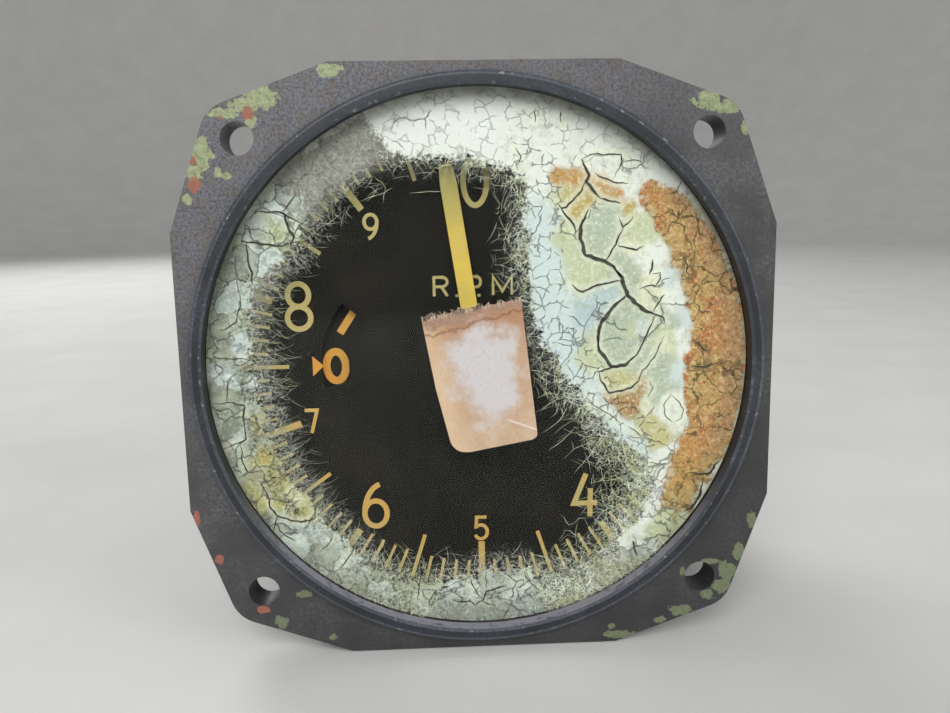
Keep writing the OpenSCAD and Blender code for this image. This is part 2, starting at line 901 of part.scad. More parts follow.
case();
bezel_ring();
front_pane();
interlayer();
rear_pane();
glass_gasket();
dial_spacer();
dial();
dial_feet();
pointer();
pointer_arbor();
pointer_bushes();
counter_card();
counter_wheel();
counter_stud();
counter_clip();
front_plate();
front_plate_screws();
movement_screws();
pillars();
bridge();
bridge_posts();
bridge_screws();
rear_plate();
rear_plate_screws();
cup_bushes();
cup_arbor();
cup_wheel();
stop_pin();
stop_posts();
hairspring();
hairspring_collet();
hairspring_stud();
drag_cup();
field_ring();
magnet();
magnet_hub();
input_shaft();
front_shaft_bush();
rear_shaft_bush();
drive_nipple();
nipple_nut();
rear_cover();
rear_gasket();
rear_screws();
paper_tag();
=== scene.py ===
import json
import math
import random

import bmesh
import bpy
import numpy as np
from mathutils import Matrix, Vector
from mathutils import noise as ripple


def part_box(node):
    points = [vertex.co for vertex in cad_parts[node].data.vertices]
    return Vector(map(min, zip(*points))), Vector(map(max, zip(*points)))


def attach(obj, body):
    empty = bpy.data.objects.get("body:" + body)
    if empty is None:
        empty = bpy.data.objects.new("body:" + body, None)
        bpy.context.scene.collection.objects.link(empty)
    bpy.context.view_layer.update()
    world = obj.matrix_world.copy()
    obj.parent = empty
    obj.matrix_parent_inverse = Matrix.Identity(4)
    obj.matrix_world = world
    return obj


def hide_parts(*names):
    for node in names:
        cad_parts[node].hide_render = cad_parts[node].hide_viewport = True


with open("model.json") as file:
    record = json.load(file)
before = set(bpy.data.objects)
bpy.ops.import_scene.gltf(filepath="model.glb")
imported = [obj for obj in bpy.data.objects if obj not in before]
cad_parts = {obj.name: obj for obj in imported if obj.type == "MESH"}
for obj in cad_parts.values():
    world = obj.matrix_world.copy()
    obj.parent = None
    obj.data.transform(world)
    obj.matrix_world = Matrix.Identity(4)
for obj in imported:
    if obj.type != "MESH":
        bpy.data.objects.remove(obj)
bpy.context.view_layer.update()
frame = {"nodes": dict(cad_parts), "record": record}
MM = 0.001

# Case: a light alloy casting with a square flange, painted black and worn to a dusty grey-brown.
# Its edges are rubbed down to bare metal, and scraps of green and red paint have stuck to the flange
# about the four screw holes.
PAINT_BLACK = (66, 65, 67)
PAINT_DUST = (110, 109, 112)
# Painted shade: a darker black laid over the flange towards the lower right.
PAINT_SHADED = (40, 40, 41)
DUST_BROWN = (128, 122, 120)
DUST_BLUE = (126, 130, 140)
BARE_ALLOY = (150, 148, 144)
SCRAP_GREEN = (172, 182, 140)
SCRAP_RED = (172, 102, 78)
EDGE_WEAR = 0.22 * MM


def screen_colour(red, green, blue):
    """The linear colour that shows on a screen as these values of 0 to 255."""
    shares = [value / 255 for value in (red, green, blue)]
    return (*[s / 12.92 if s <= 0.04045 else ((s + 0.055) / 1.055) ** 2.4 for s in shares], 1.0)


def add(tree, kind, inputs=None, **settings):
    """A node with its settings made, and with each input set to a value or linked to a socket."""
    node = tree.nodes.new(kind)
    for name, value in settings.items():
        setattr(node, name, value)
    for key, value in (inputs or {}).items():
        if isinstance(value, bpy.types.NodeSocket):
            tree.links.new(value, node.inputs[key])
        else:
            node.inputs[key].default_value = value
    return node


def place_on(tree):
    """Where each point lies in the frame that all the pieces share, in metres."""
    return add(tree, "ShaderNodeTexCoord").outputs["Object"]


def link(kind, inputs, **settings):
    """The outputs of a node that is added to the tree of the sockets that feed it."""
    sockets = [value for value in inputs.values() if isinstance(value, bpy.types.NodeSocket)]
    return add(sockets[0].id_data, kind, inputs, **settings).outputs


def length_of(vector):
    return link("ShaderNodeVectorMath", {0: vector}, operation="LENGTH")["Value"]


def parts_of(vector):
    return link("ShaderNodeSeparateXYZ", {0: vector})


def grain(vector, size, detail=4.0, roughness=0.55):
    """Noise of about 0.5 whose lumps are about this size in metres."""
    inputs = {"Vector": vector, "Scale": 1 / size, "Detail": detail, "Roughness": roughness}
    return link("ShaderNodeTexNoise", inputs)[0]


def fade(value, low, high, start=0.0, end=1.0):
    """A smooth step from start to end as the value goes from low to high."""
    inputs = {"Value": value, "From Min": low, "From Max": high, "To Min": start, "To Max": end}
    return link("ShaderNodeMapRange", inputs, interpolation_type="SMOOTHSTEP")[0]


def reckon(operation, first, second=0.0):
    return link("ShaderNodeMath", {0: first, 1: second}, operation=operation)[0]


def plus(first, second):
    return reckon("ADD", first, second)


def minus(first, second):
    return reckon("SUBTRACT", first, second)


def times(first, second):
    return reckon("MULTIPLY", first, second)


def greater(first, second):
    return reckon("MAXIMUM", first, second)


def tint(share, first, second):
    """The first colour, turned towards the second by a share of 0 to 1: sockets, or screen values."""
    first, second = (screen_colour(*c) if isinstance(c, tuple) else c for c in (first, second))
    return link("ShaderNodeMix", {0: share, 6: first, 7: second}, data_type="RGBA")[2]


def layered(colour, *layers):
    """A colour with others laid over it in turn, each by a share of 0 to 1."""
    for share, other in layers:
        colour = tint(share, colour, other)
    return colour


def new_finish(name, **shader_values):
    """A material, its shader with these plain values, and where each point of the piece lies."""
    finish = bpy.data.materials.new(name)
    finish.use_nodes = True
    shader = finish.node_tree.nodes["Principled BSDF"]
    for key, value in shader_values.items():
        shader.inputs[key.replace("_", " ").title().replace("Ior", "IOR")].default_value = value
    return finish, shader, place_on(finish.node_tree)


def feed(shader, key, socket):
    shader.id_data.links.new(socket, shader.inputs[key])


def raise_by(shader, height, depth):
    """Bumps the shader's surface by a height of 0 to 1 times a depth in metres."""
    feed(shader, "Normal", link("ShaderNodeBump", {"Height": height, "Distance": depth})[0])


def new_group(name, kind, inputs, outputs):
    """A node group whose sockets have these names and kinds, and what its input node gives."""
    group = bpy.data.node_groups.new(name, kind)
    for way, sockets in (("INPUT", inputs), ("OUTPUT", outputs)):
        for socket, what in sockets.items():
            group.interface.new_socket(socket, in_out=way, socket_type="NodeSocket" + what)
    return group, add(group, "NodeGroupInput").outputs


def paint_group():
    """Old paint: blotched and dusty, with chips down to the metal that grow with Wear."""
    inputs = {"Paint": "Color", "Dust": "Color", "Metal": "Color", "Wear": "Float"}
    outputs = {"Colour": "Color", "Roughness": "Float", "Bare": "Float", "Height": "Float"}
    group, given = new_group("worn_paint", "ShaderNodeTree", inputs, outputs)
    place = place_on(group)
    speckle = grain(place, 0.45 * MM, 3)
    dust_and_light = times(fade(grain(place, 7 * MM, 6), 0.35, 0.7), fade(speckle, 0.3, 0.75))
    coat = tint(dust_and_light, given["Paint"], given["Dust"])
    bare = fade(plus(grain(place, 1.1 * MM, 8, 0.72), given["Wear"]), 0.7, 0.76)
    results = {
        "Colour": tint(bare, coat, given["Metal"]),
        "Roughness": fade(dust_and_light, 0, 1, 0.46, 0.74),
        "Bare": times(bare, 0.85),
        "Height": minus(times(speckle, 0.35), bare),
    }
    add(group, "NodeGroupOutput", results)
    return group


worn_paint = paint_group()


def painted(name, paint, dust, metal, wear):
    """Worn paint over metal: its material, its shader, where each point lies, and its colour."""
    finish, shader, place = new_finish(name)
    coat = add(finish.node_tree, "ShaderNodeGroup", node_tree=worn_paint)
    for key, colour in (("Paint", paint), ("Dust", dust), ("Metal", metal)):
        coat.inputs[key].default_value = screen_colour(*colour)
    coat.inputs["Wear"].default_value = wear
    for key, result in (("Base Color", "Colour"), ("Roughness", "Roughness"), ("Metallic", "Bare")):
        feed(shader, key, coat.outputs[result])
    raise_by(shader, coat.outputs["Height"], 0.04 * MM)
    return finish, shader, place, coat.outputs["Colour"]


def scraps(place, spots, ragged):
    """Mask of ragged patches: each spot is x, z and the two half widths in mm, on the front face."""
    mask = 0.0
    for x, z, across, up in spots:
        inputs = {"Location": (-x / across, 0, -z / up), "Vector": place}
        inputs["Scale"] = (1 / (across * MM), 1 / (0.6 * MM), 1 / (up * MM))
        reach = length_of(link("ShaderNodeMapping", inputs)[0])
        mask = greater(mask, fade(plus(reach, ragged), 1.06, 0.94))
    return mask


green_scraps = [
    (-19.1, 39.9, 1.7, 0.8), (-28.1, 36.6, 2.1, 1.6), (-30.2, 35.6, 2.0, 0.9), (-33.0, 34.6, 1.8, 0.7),
    (-29.4, 33.5, 0.8, 0.8), (-36.1, 29.6, 1.3, 2.2), (-37.2, 27.2, 1.2, 1.2), (-33.0, 26.5, 0.6, 0.6),
    (-34.1, 27.1, 0.5, 0.6), (-38.3, 23.7, 0.6, 0.7), (31.2, 35.6, 1.9, 1.2), (33.6, 34.7, 1.9, 0.9),
    (36.3, 32.0, 0.7, 1.0), (38.9, -23.0, 0.7, 1.2), (37.1, -28.0, 0.8, 1.5), (35.5, -30.8, 1.2, 1.7),
    (34.7, -33.0, 1.3, 1.2), (32.6, -34.3, 1.2, 0.7), (28.8, -36.6, 2.0, 0.8), (25.7, -38.0, 0.8, 0.5),
    (19.3, -40.0, 2.4, 0.6), (18.5, -38.7, 0.5, 0.4), (28.9, -30.6, 0.3, 0.7), (32.8, -29.2, 1.2, 0.4),
    (-29.2, -36.2, 1.0, 1.0), (-25.9, -32.0, 1.1, 0.6), (-22.0, -38.7, 0.5, 0.5)]
red_scraps = [
    (-29.9, 34.7, 0.7, 0.8), (-37.2, 25.4, 0.9, 1.1), (-37.3, 28.6, 0.5, 0.6), (-37.4, -26.4, 0.6, 0.7),
    (-31.8, -34.2, 0.9, 0.5), (-40.2, -20.2, 0.5, 0.8), (-33.4, 34.1, 0.4, 0.3)]


def case_finish(name, wear):
    """The case's paint with painted light and shade: lighter and dustier at the upper left, darker at
    the lower right. Scraps of other paint lie on the flange.
    """
    finish, shader, place, coat = painted(name, PAINT_BLACK, PAINT_DUST, BARE_ALLOY, wear)
    x, y, z = parts_of(place)
    upper_left = minus(z, times(x, 0.5))
    speckle = grain(place, 0.4 * MM, 5, 0.75)
    # Painted light and dust: lighter dust, laid thicker towards the upper left.
    settled_dust_and_light = times(fade(upper_left, 0, 45 * MM, 0, 0.75), fade(speckle, 0.36, 0.62))
    dust = tint(fade(grain(place, 2.5 * MM), 0.4, 0.6), DUST_BROWN, DUST_BLUE)
    ragged = fade(grain(place, 1.2 * MM, 7, 0.65), 0.2, 0.8, -0.6, 0.6)
    blotched = fade(grain(place, 0.7 * MM, 6, 0.7), 0.35, 0.65)
    green = tint(blotched, SCRAP_GREEN, (134, 142, 104))
    # Painted shade: the green scraps darken towards the lower right.
    green = tint(fade(upper_left, 40 * MM, -25 * MM, 0, 0.75), green, (98, 108, 82))
    red = tint(blotched, SCRAP_RED, (138, 94, 80))
    drawn_out = link("ShaderNodeMapping", {"Vector": place, "Scale": (1, 0.04, 1)})[0]
    scratches = fade(grain(drawn_out, 0.5 * MM, 3, 0.6), 0.66, 0.74, 0, 0.5)
    rubbed = fade(grain(place, 0.45 * MM, 6, 0.72), 0.34, 0.48, 0.45, 0.96)
    colour = layered(
        coat,
        (fade(upper_left, 5 * MM, -40 * MM, 0, 0.6), PAINT_SHADED),
        (settled_dust_and_light, dust),
        (scratches, (136, 134, 132)),
        (times(scraps(place, green_scraps, ragged), rubbed), green),
        (times(scraps(place, red_scraps, ragged), rubbed), red))
    feed(shader, "Base Color", colour)
    return finish


def made(piece):
    """The object's mesh as its modifiers leave it, with no modifiers left."""
    bpy.context.view_layer.update()
    depsgraph = bpy.context.evaluated_depsgraph_get()
    mesh = bpy.data.meshes.new_from_object(piece.evaluated_get(depsgraph))
    piece.modifiers.clear()
    piece.data = mesh
    return piece


def new_piece(name, form, *finishes, smooth_below=35):
    """A mesh object of this name made from a bmesh, smooth where faces meet at less than that angle."""
    mesh = bpy.data.meshes.new(name)
    form.to_mesh(mesh)
    form.free()
    for finish in finishes:
        mesh.materials.append(finish)
    mesh.shade_smooth()
    mesh.set_sharp_from_angle(angle=math.radians(smooth_below))
    piece = bpy.data.objects.new(name, mesh)
    bpy.context.scene.collection.objects.link(piece)
    return piece


def worn_copy(node, width, *finishes):
    """A copy of a CAD node whose sharp edges are rubbed round and take the second finish."""
    form = bmesh.new()
    form.from_mesh(frame["nodes"][node].data)
    bmesh.ops.remove_doubles(form, verts=form.verts, dist=0.0005 * MM)
    bmesh.ops.dissolve_limit(form, angle_limit=math.radians(0.05), verts=form.verts, edges=form.edges)
    for face in form.faces:
        face.material_index = 0
    piece = new_piece(node + "_worn", form, *finishes)
    if "custom_normal" in piece.data.attributes:
        piece.data.attributes.remove(piece.data.attributes["custom_normal"])
    bevel = piece.modifiers.new("edge", "BEVEL")
    bevel.width = width
    bevel.segments = 2
    bevel.limit_method = "ANGLE"
    bevel.angle_limit = math.radians(40)
    bevel.material = 1
    piece.modifiers.new("level_faces", "WEIGHTED_NORMAL").keep_sharp = True
    return made(piece)


case = worn_copy("case", EDGE_WEAR, case_finish("case_paint", 0.02), case_finish("case_edge", 0.22))
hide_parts("case")
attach(case, "housing")

# Movement: brass plates and wheels, steel arbors and screws, a magnet, an aluminium drag cup and a
# blued hairspring, all inside the case. The solids stay as they are and get their metals here.


def turned(name, metal, stain, roughness, ridge):
    """Turned or rolled metal: faint tool marks, and stains that dull it."""
    finish, shader, place = new_finish(name, metallic=1.0)
    squeezed = link("ShaderNodeMapping", {"Vector": place, "Scale": (1, 14, 1)})[0]
    marks = grain(squeezed, 2.4 * MM, 3)
    stains = fade(grain(place, 3.2 * MM, 6), 0.42, 0.68)
    feed(shader, "Base Color", tint(stains, metal, stain))
    rough = plus(fade(marks, 0.3, 0.7, -0.06, 0.06), fade(stains, 0, 1, 0, 0.18))
    feed(shader, "Roughness", plus(rough, roughness))
    raise_by(shader, marks, ridge)
    return finish


def polished_stone(name, stone, vein):
    finish, shader, place = new_finish(name, roughness=0.12)
    feed(shader, "Base Color", tint(grain(place, 0.8 * MM), stone, vein))
    return finish


def matt(name, colour, other, size, roughness, ridge=0.01 * MM):
    """A matt surface of two close colours, mixed in lumps of this size."""
    finish, shader, place = new_finish(name, roughness=roughness)
    feed(shader, "Base Color", tint(fade(grain(place, size, 6), 0.3, 0.7), colour, other))
    raise_by(shader, grain(place, size / 6), ridge)
    return finish


metals = {
    "movement_brass": ((196, 164, 98), (140, 110, 62), 0.3, 0.004 * MM),
    "bronze": ((168, 122, 70), (120, 82, 48), 0.34, 0.004 * MM),
    "steel": ((168, 168, 172), (120, 114, 108), 0.28, 0.003 * MM),
    "screw_steel": ((92, 92, 96), (64, 56, 50), 0.42, 0.004 * MM),
    "spring_steel": ((70, 84, 128), (54, 58, 84), 0.25, 0.002 * MM),
    "cup_aluminium": ((190, 191, 194), (160, 160, 160), 0.3, 0.004 * MM),
    "magnet_iron": ((98, 98, 102), (74, 70, 66), 0.5, 0.02 * MM),
    "field_iron": ((124, 122, 122), (98, 88, 80), 0.45, 0.01 * MM),
}
matt_pieces = {
    "gasket_rubber": ((34, 33, 33), (52, 50, 48), 1.2 * MM, 0.7),
    "fibre": ((96, 78, 58), (70, 56, 42), 0.8 * MM, 0.85),
    "spacer_paint": ((26, 25, 24), (44, 41, 38), 1.5 * MM, 0.65),
}
inside_finishes = {name: turned(name, *look) for name, look in metals.items()}
inside_finishes["jewel"] = polished_stone("jewel", (150, 30, 56), (112, 16, 40))
inside_finishes.update({name: matt(name, *look) for name, look in matt_pieces.items()})


def dress(node, finish):
    """Gives its finish to a CAD node that keeps its own solid."""
    materials = frame["nodes"][node].data.materials
    materials.clear()
    materials.append(finish)


for part in frame["record"]["subparts"]:
    if part["material_slot"] in inside_finishes:
        dress(part["node"], inside_finishes[part["material_slot"]])

# Dial: a thin black metal plate on three feet. The scale of a hundred marks, the figures 0 to 9 at the
# hundreds, the unit legend and the orange index beside the counter's window are printed.
DIAL_BLACK = (20, 17, 13)
DIAL_BROWN = (34, 28, 22)
AMBER = (202, 158, 84)
AMBER_PALE = (186, 168, 108)
PRINT_HEIGHT = 0.03 * MM
MARK_OUTER = 34.3 * MM
LONG_MARK = (27.4 * MM, 0.95 * MM)
SHORT_MARK = (30.8 * MM, 0.95 * MM)
HALF_MARK = (27.4 * MM, 0.55 * MM)
MINOR_MARK = (30.4 * MM, 0.42 * MM)
LARGE_FIGURE = {"tall": 7.3, "wide": 4.1, "stroke": 0.78}
SMALL_FIGURE = {"tall": 3.9, "wide": 2.3, "stroke": 0.5}
figure_places = [
    (0.0, 25.8), (14.9, 19.8), (25.6, 8.7), (24.9, -8.4), (15.7, -20.6),
    (0.0, -25.3), (-15.7, -21.2), (-24.6, -8.2), (-25.6, 8.7), (-14.9, 19.8)]
dial_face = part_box("dial")[0].y


def dial_paint():
    finish, shader, place = new_finish("dial_paint", roughness=0.6, specular_ior_level=0.15)
    bloom = fade(grain(place, 9 * MM, 6), 0.42, 0.75)
    dust = fade(grain(place, 0.4 * MM, 2), 0.72, 0.78)
    feed(shader, "Base Color", layered(DIAL_BLACK, (bloom, DIAL_BROWN), (dust, (120, 112, 96))))
    raise_by(shader, grain(place, 0.3 * MM), 0.003 * MM)
    return finish


def print_paint(name, fresh, faded):
    """Matt printing paint, fresh at the lower left of the dial and faded elsewhere."""
    finish, shader, place = new_finish(name, roughness=0.62)
    x, y, z = parts_of(place)
    uneven = fade(grain(place, 6 * MM, 5), 0.3, 0.7, -6 * MM, 6 * MM)
    aged = fade(plus(plus(z, times(x, 0.5)), uneven), -22 * MM, -6 * MM)
    aged = greater(aged, fade(length_of(place), 28 * MM, 32 * MM, 0, 0.7))
    specks = fade(grain(place, 0.35 * MM, 3), 0.66, 0.78, 0, 0.6)
    feed(shader, "Base Color", layered(fresh, (aged, faded), (specks, (120, 84, 40))))
    raise_by(shader, grain(place, 0.25 * MM), 0.012 * MM)
    return finish


amber_print = print_paint("amber_print", AMBER, AMBER_PALE)


def marks_tree():
    """Bars set round a circle in the XY plane, from an inner to an outer radius."""
    inputs = {"Count": "Int", "Leave out every": "Int", "Turn": "Float", "Inner radius": "Float"}
    inputs.update({"Outer radius": "Float", "Width": "Float", "Height": "Float", "Paint": "Material"})
    tree, given = new_group("scale_marks", "GeometryNodeTree", inputs, {"Geometry": "Geometry"})
    inner, outer, skip = given["Inner radius"], given["Outer radius"], given["Leave out every"]
    middle = times(plus(inner, outer), 0.5)
    circle = link("GeometryNodeMeshCircle", {"Vertices": given["Count"], "Radius": middle})[0]
    size = {"X": minus(outer, inner), "Y": given["Width"], "Z": given["Height"]}
    bar = link("GeometryNodeMeshCube", {"Size": link("ShaderNodeCombineXYZ", size)[0]})[0]
    place = add(tree, "GeometryNodeInputPosition").outputs[0]
    outward = link("FunctionNodeAlignRotationToVector", {"Vector": place}, axis="X")[0]
    index = add(tree, "GeometryNodeInputIndex").outputs[0]
    wanted = plus(reckon("MODULO", index, skip), reckon("GREATER_THAN", skip, given["Count"]))
    bars = {"Points": circle, "Instance": bar, "Rotation": outward, "Selection": wanted}
    row = link("GeometryNodeInstanceOnPoints", bars)[0]
    turn = link("ShaderNodeCombineXYZ", {"Z": given["Turn"]})[0]
    real = link("GeometryNodeRealizeInstances", {0: row})[0]
    whole = link("GeometryNodeTransform", {"Geometry": real, "Rotation": turn})[0]
    whole = link("GeometryNodeSetMaterial", {"Geometry": whole, "Material": given["Paint"]})[0]
    add(tree, "NodeGroupOutput", {"Geometry": whole})
    return tree


def grow(name, tree, values, start=None):
    """A plain mesh object made by a geometry tree from values given by socket name."""
    piece = bpy.data.objects.new(name, start or bpy.data.meshes.new(name))
    bpy.context.scene.collection.objects.link(piece)
    maker = piece.modifiers.new("maker", "NODES")
    maker.node_group = tree
    for item in tree.interface.items_tree:
        if item.in_out == "INPUT" and item.name in values:
            maker[item.identifier] = values[item.name]
    return made(piece)


def stand_on_dial(piece, face):
    """Turns a print that was made flat in XY so that it is read from the front, on this face."""
    piece.data.transform(Matrix.Translation((0, face, 0)) @ Matrix.Rotation(math.pi / 2, 4, "X"))
    return piece


scale_marks = marks_tree()
mark_rows = {
    "long_marks": (5, 6, math.radians(54), *LONG_MARK),
    "short_marks": (5, 6, math.radians(18), *SHORT_MARK),
    "half_marks": (10, 11, 0.0, *HALF_MARK),
    "minor_marks": (100, 5, 0.0, *MINOR_MARK),
}
for name, (count, skip, turn, inner, width) in mark_rows.items():
    values = {"Count": count, "Leave out every": skip, "Turn": turn, "Inner radius": inner}
    values.update({"Outer radius": MARK_OUTER, "Width": width})
    values.update({"Height": PRINT_HEIGHT, "Paint": amber_print})
    marks = stand_on_dial(grow(name, scale_marks, values), dial_face)
    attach(marks, "housing")


def bend(centre, radii, first, last, steps=18):
    """Points round part of an oval, by angles in degrees anticlockwise from the right."""
    angles = [math.radians(first + (last - first) * k / steps) for k in range(steps + 1)]
    return [(centre[0] + radii[0] * math.cos(a), centre[1] + radii[1] * math.sin(a)) for a in angles]


six_bowl = bend((0, -0.4), (1, 0.6), 155, 515, 32)
six_back = bend((0.75, -0.4), (1.75, 1.4), 180, 101, 14)
STROKES = {
    "0": [bend((0, 0), (1, 1), 90, 450, 36)],
    "1": [[(0, -1), (0, 1)]],
    "2": [bend((0, 0.45), (1, 0.55), 165, -35) + [(-1, -1), (1, -1)]],
    "3": [bend((0, 0.5), (0.9, 0.5), 155, -90), bend((0, -0.5), (1, 0.5), 90, -155)],
    "4": [[(0.1, 1), (-1, -0.4), (1.15, -0.4)], [(0.5, 0.3), (0.46, -1.05)]],
    "5": [[(0.9, 1), (-0.75, 1), (-0.85, 0.12)] + bend((-0.05, -0.36), (1.05, 0.64), 128, -155)],
    "6": [six_bowl, six_back],
    "7": [[(-1, 1), (1, 1), (0.0, -1)]],
    "8": [bend((0, 0.5), (0.9, 0.5), -90, 270, 32), bend((0, -0.5), (1, 0.5), 90, 450, 32)],
    "9": [[(-x, -z) for x, z in path] for path in (six_bowl, six_back)],
    "R": [[(-1, -1), (-1, 1), (0.2, 1)] + bend((0.2, 0.5), (0.8, 0.5), 90, -90) + [(-1, 0)],
          [(0.1, 0), (1, -1)]],
    "P": [[(-1, -1), (-1, 1), (0.2, 1)] + bend((0.2, 0.45), (0.8, 0.55), 90, -90) + [(-1, -0.1)]],
    "M": [[(-1, -1), (-1, 1), (0, -0.6), (1, 1), (1, -1)]],
    ".": [[(0, -1.15), (0, -0.85)]],
}


def draw_stroke(form, path, width, height):
    """A flat bar of paint along a path of points in mm, in the XY plane, with mitred bends."""
    points = [Vector((*p, 0)) for p in path]
    closed = (points[0] - points[-1]).length < 1e-6
    if closed:
        points.pop()
    rows = []
    for k, point in enumerate(points):
        before = points[k - 1] if k or closed else None
        after = points[(k + 1) % len(points)] if closed or k + 1 < len(points) else None
        into = (point - before).normalized() if before else (after - point).normalized()
        out = (after - point).normalized() if after else into
        side = Vector((-into.y - out.y, into.x + out.x, 0)).normalized()
        reach = width / 2 / max(0.5, abs(side.dot(Vector((-into.y, into.x, 0)))))
        lift = Vector((0, 0, height))
        edges = [(point + side * reach) * MM, (point - side * reach) * MM]
        rows.append([form.verts.new(v) for v in (edges[0], edges[1], edges[1] + lift, edges[0] + lift)])
    pairs = list(zip(rows, rows[1:] + rows[:1])) if closed else list(zip(rows, rows[1:]))
    for first, second in pairs:
        for k in range(4):
            form.faces.new((first[k], second[k], second[(k + 1) % 4], first[(k + 1) % 4]))
    if not closed:
        form.faces.new(rows[0])
        form.faces.new(rows[-1][::-1])


def draw_sign(form, sign, centre, wide, tall, stroke, lean=0.0):
    """A figure or letter with its middle at centre, in mm, turned clockwise by lean in degrees."""
    cos, sin = math.cos(math.radians(lean)), math.sin(math.radians(lean))
    half_wide, half_tall = (wide - stroke) / 2, (tall - stroke) / 2
    for layer, path in enumerate(STROKES[sign]):
        sized = [(x * half_wide, z * half_tall) for x, z in path]
        turned_path = [(centre[0] + x * cos + z * sin, centre[1] - x * sin + z * cos) for x, z in sized]
        draw_stroke(form, turned_path, stroke, PRINT_HEIGHT * (1 + 0.25 * layer))


figures = bmesh.new()
for number, centre in enumerate(figure_places):
    shape = SMALL_FIGURE if number % 2 else LARGE_FIGURE
    draw_sign(figures, str(number), centre, **shape)
LEGEND_TALL = 3.1
LEGEND_MIDDLE = 11.1
LEGEND_STROKE = 0.4
LEGEND_SIGNS = [("R", -5.2, 2.3), (".", -2.9, 0.5), ("P", -0.2, 1.9), (".", 0.3, 0.5), ("M", 3.7, 3.1)]
for sign, x, wide in LEGEND_SIGNS:
    draw_sign(figures, sign, (x, LEGEND_MIDDLE), wide, LEGEND_TALL, LEGEND_STROKE)
INDEX_BACK = -24.0
INDEX_TIP = -22.4
INDEX_HALF = 1.45
COUNTER_ORANGE = (226, 142, 40)
COUNTER_FADED = (206, 148, 60)
index_corners = [(INDEX_BACK, INDEX_HALF), (INDEX_BACK, -INDEX_HALF), (INDEX_TIP, 0)]
index_form = bmesh.new()
low = [index_form.verts.new((x * MM, z * MM, 0)) for x, z in index_corners]
high = [index_form.verts.new((x * MM, z * MM, PRINT_HEIGHT)) for x, z in index_corners]
index_form.faces.new(low[::-1])
index_form.faces.new(high)
for k in range(3):
    index_form.faces.new((low[k], low[(k + 1) % 3], high[(k + 1) % 3], high[k]))
orange_print = print_paint("orange_print", COUNTER_ORANGE, COUNTER_FADED)
prints = (("dial_print", figures, amber_print), ("index_print", index_form, orange_print))
for name, form, paint in prints:
    bmesh.ops.recalc_face_normals(form, faces=form.faces)
    flat_print = stand_on_dial(new_piece(name, form, paint), dial_face)
    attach(flat_print, "housing")
dial_black = dial_paint()
dress("dial", dial_black)

# Thousands card: a black sector on the counter's wheel, behind the dial. Its bold orange figures 0 to
# 4 pass the window one by one, and each stands upright at the index. The wheel and the plate behind
# it are blackened, so that no brass shows where the card ends.
CARD_AXIS = (-9.625, 0.0)
CARD_RING = 11.2
CARD_STEP = 36
CARD_REST = -1.5
CARD_COUNT = 5
CARD_FIGURE = {"tall": 5.4, "wide": 3.9, "stroke": 1.1}
card_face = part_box("counter_card")[0].y
card_figures = bmesh.new()
for number in range(CARD_COUNT):
    lean = CARD_STEP * number + CARD_REST
    round_card = math.radians(lean - 90)
    sideways, up = CARD_RING * math.sin(round_card), CARD_RING * math.cos(round_card)
    centre = (CARD_AXIS[0] + sideways, CARD_AXIS[1] + up)
    draw_sign(card_figures, str(number), centre, lean=lean, **CARD_FIGURE)
bmesh.ops.recalc_face_normals(card_figures, faces=card_figures.faces)
card_print = new_piece("card_print", card_figures, orange_print)
stand_on_dial(card_print, card_face)
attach(card_print, "counter")
dress("counter_card", dial_black)
blackened = turned("blackened_brass", (52, 46, 38), (34, 30, 26), 0.5, 0.004 * MM)
for name in ("counter_wheel", "front_plate"):
    dress(name, blackened)

# Pointer: cut from sheet, pressed on its arbor and painted yellow. The paint has faded, more so
# towards the tip.
POINTER_YELLOW = (218, 184, 72)
POINTER_FADED = (204, 174, 84)
POINTER_TIP = (168, 154, 88)
POINTER_WEAR = 0.08 * MM


def pointer_paint(name):
    finish, shader, place = new_finish(name, roughness=0.5)
    colour = layered(
        POINTER_YELLOW,
        (fade(grain(place, 5 * MM, 6), 0.4, 0.7), POINTER_FADED),
        (fade(length_of(place), 18 * MM, 25 * MM, 0, 0.9), POINTER_TIP),
        (fade(grain(place, 0.4 * MM, 4), 0.64, 0.76, 0, 0.7), (126, 92, 40)))
    feed(shader, "Base Color", colour)
    raise_by(shader, grain(place, 0.5 * MM, 3), 0.02 * MM)
    return finish


pointer_coats = (pointer_paint("pointer_paint"), pointer_paint("pointer_edge"))
pointer = worn_copy("pointer", POINTER_WEAR, *pointer_coats)
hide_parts("pointer")
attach(pointer, "hand")

# Window: two panes of glass with a film between them that was clear once. The rear pane lies on the
# gasket. With age the film has gone white and green from the rim inwards and has cracked. It is stained
# with rust at the right, and fine crystals have grown about the part of the dial that still shows.
FILM_FRONT = 2.24
FILM_MIDDLE = 2.34
FILM_REAR = 2.55
FILM_RADIUS = 38.0

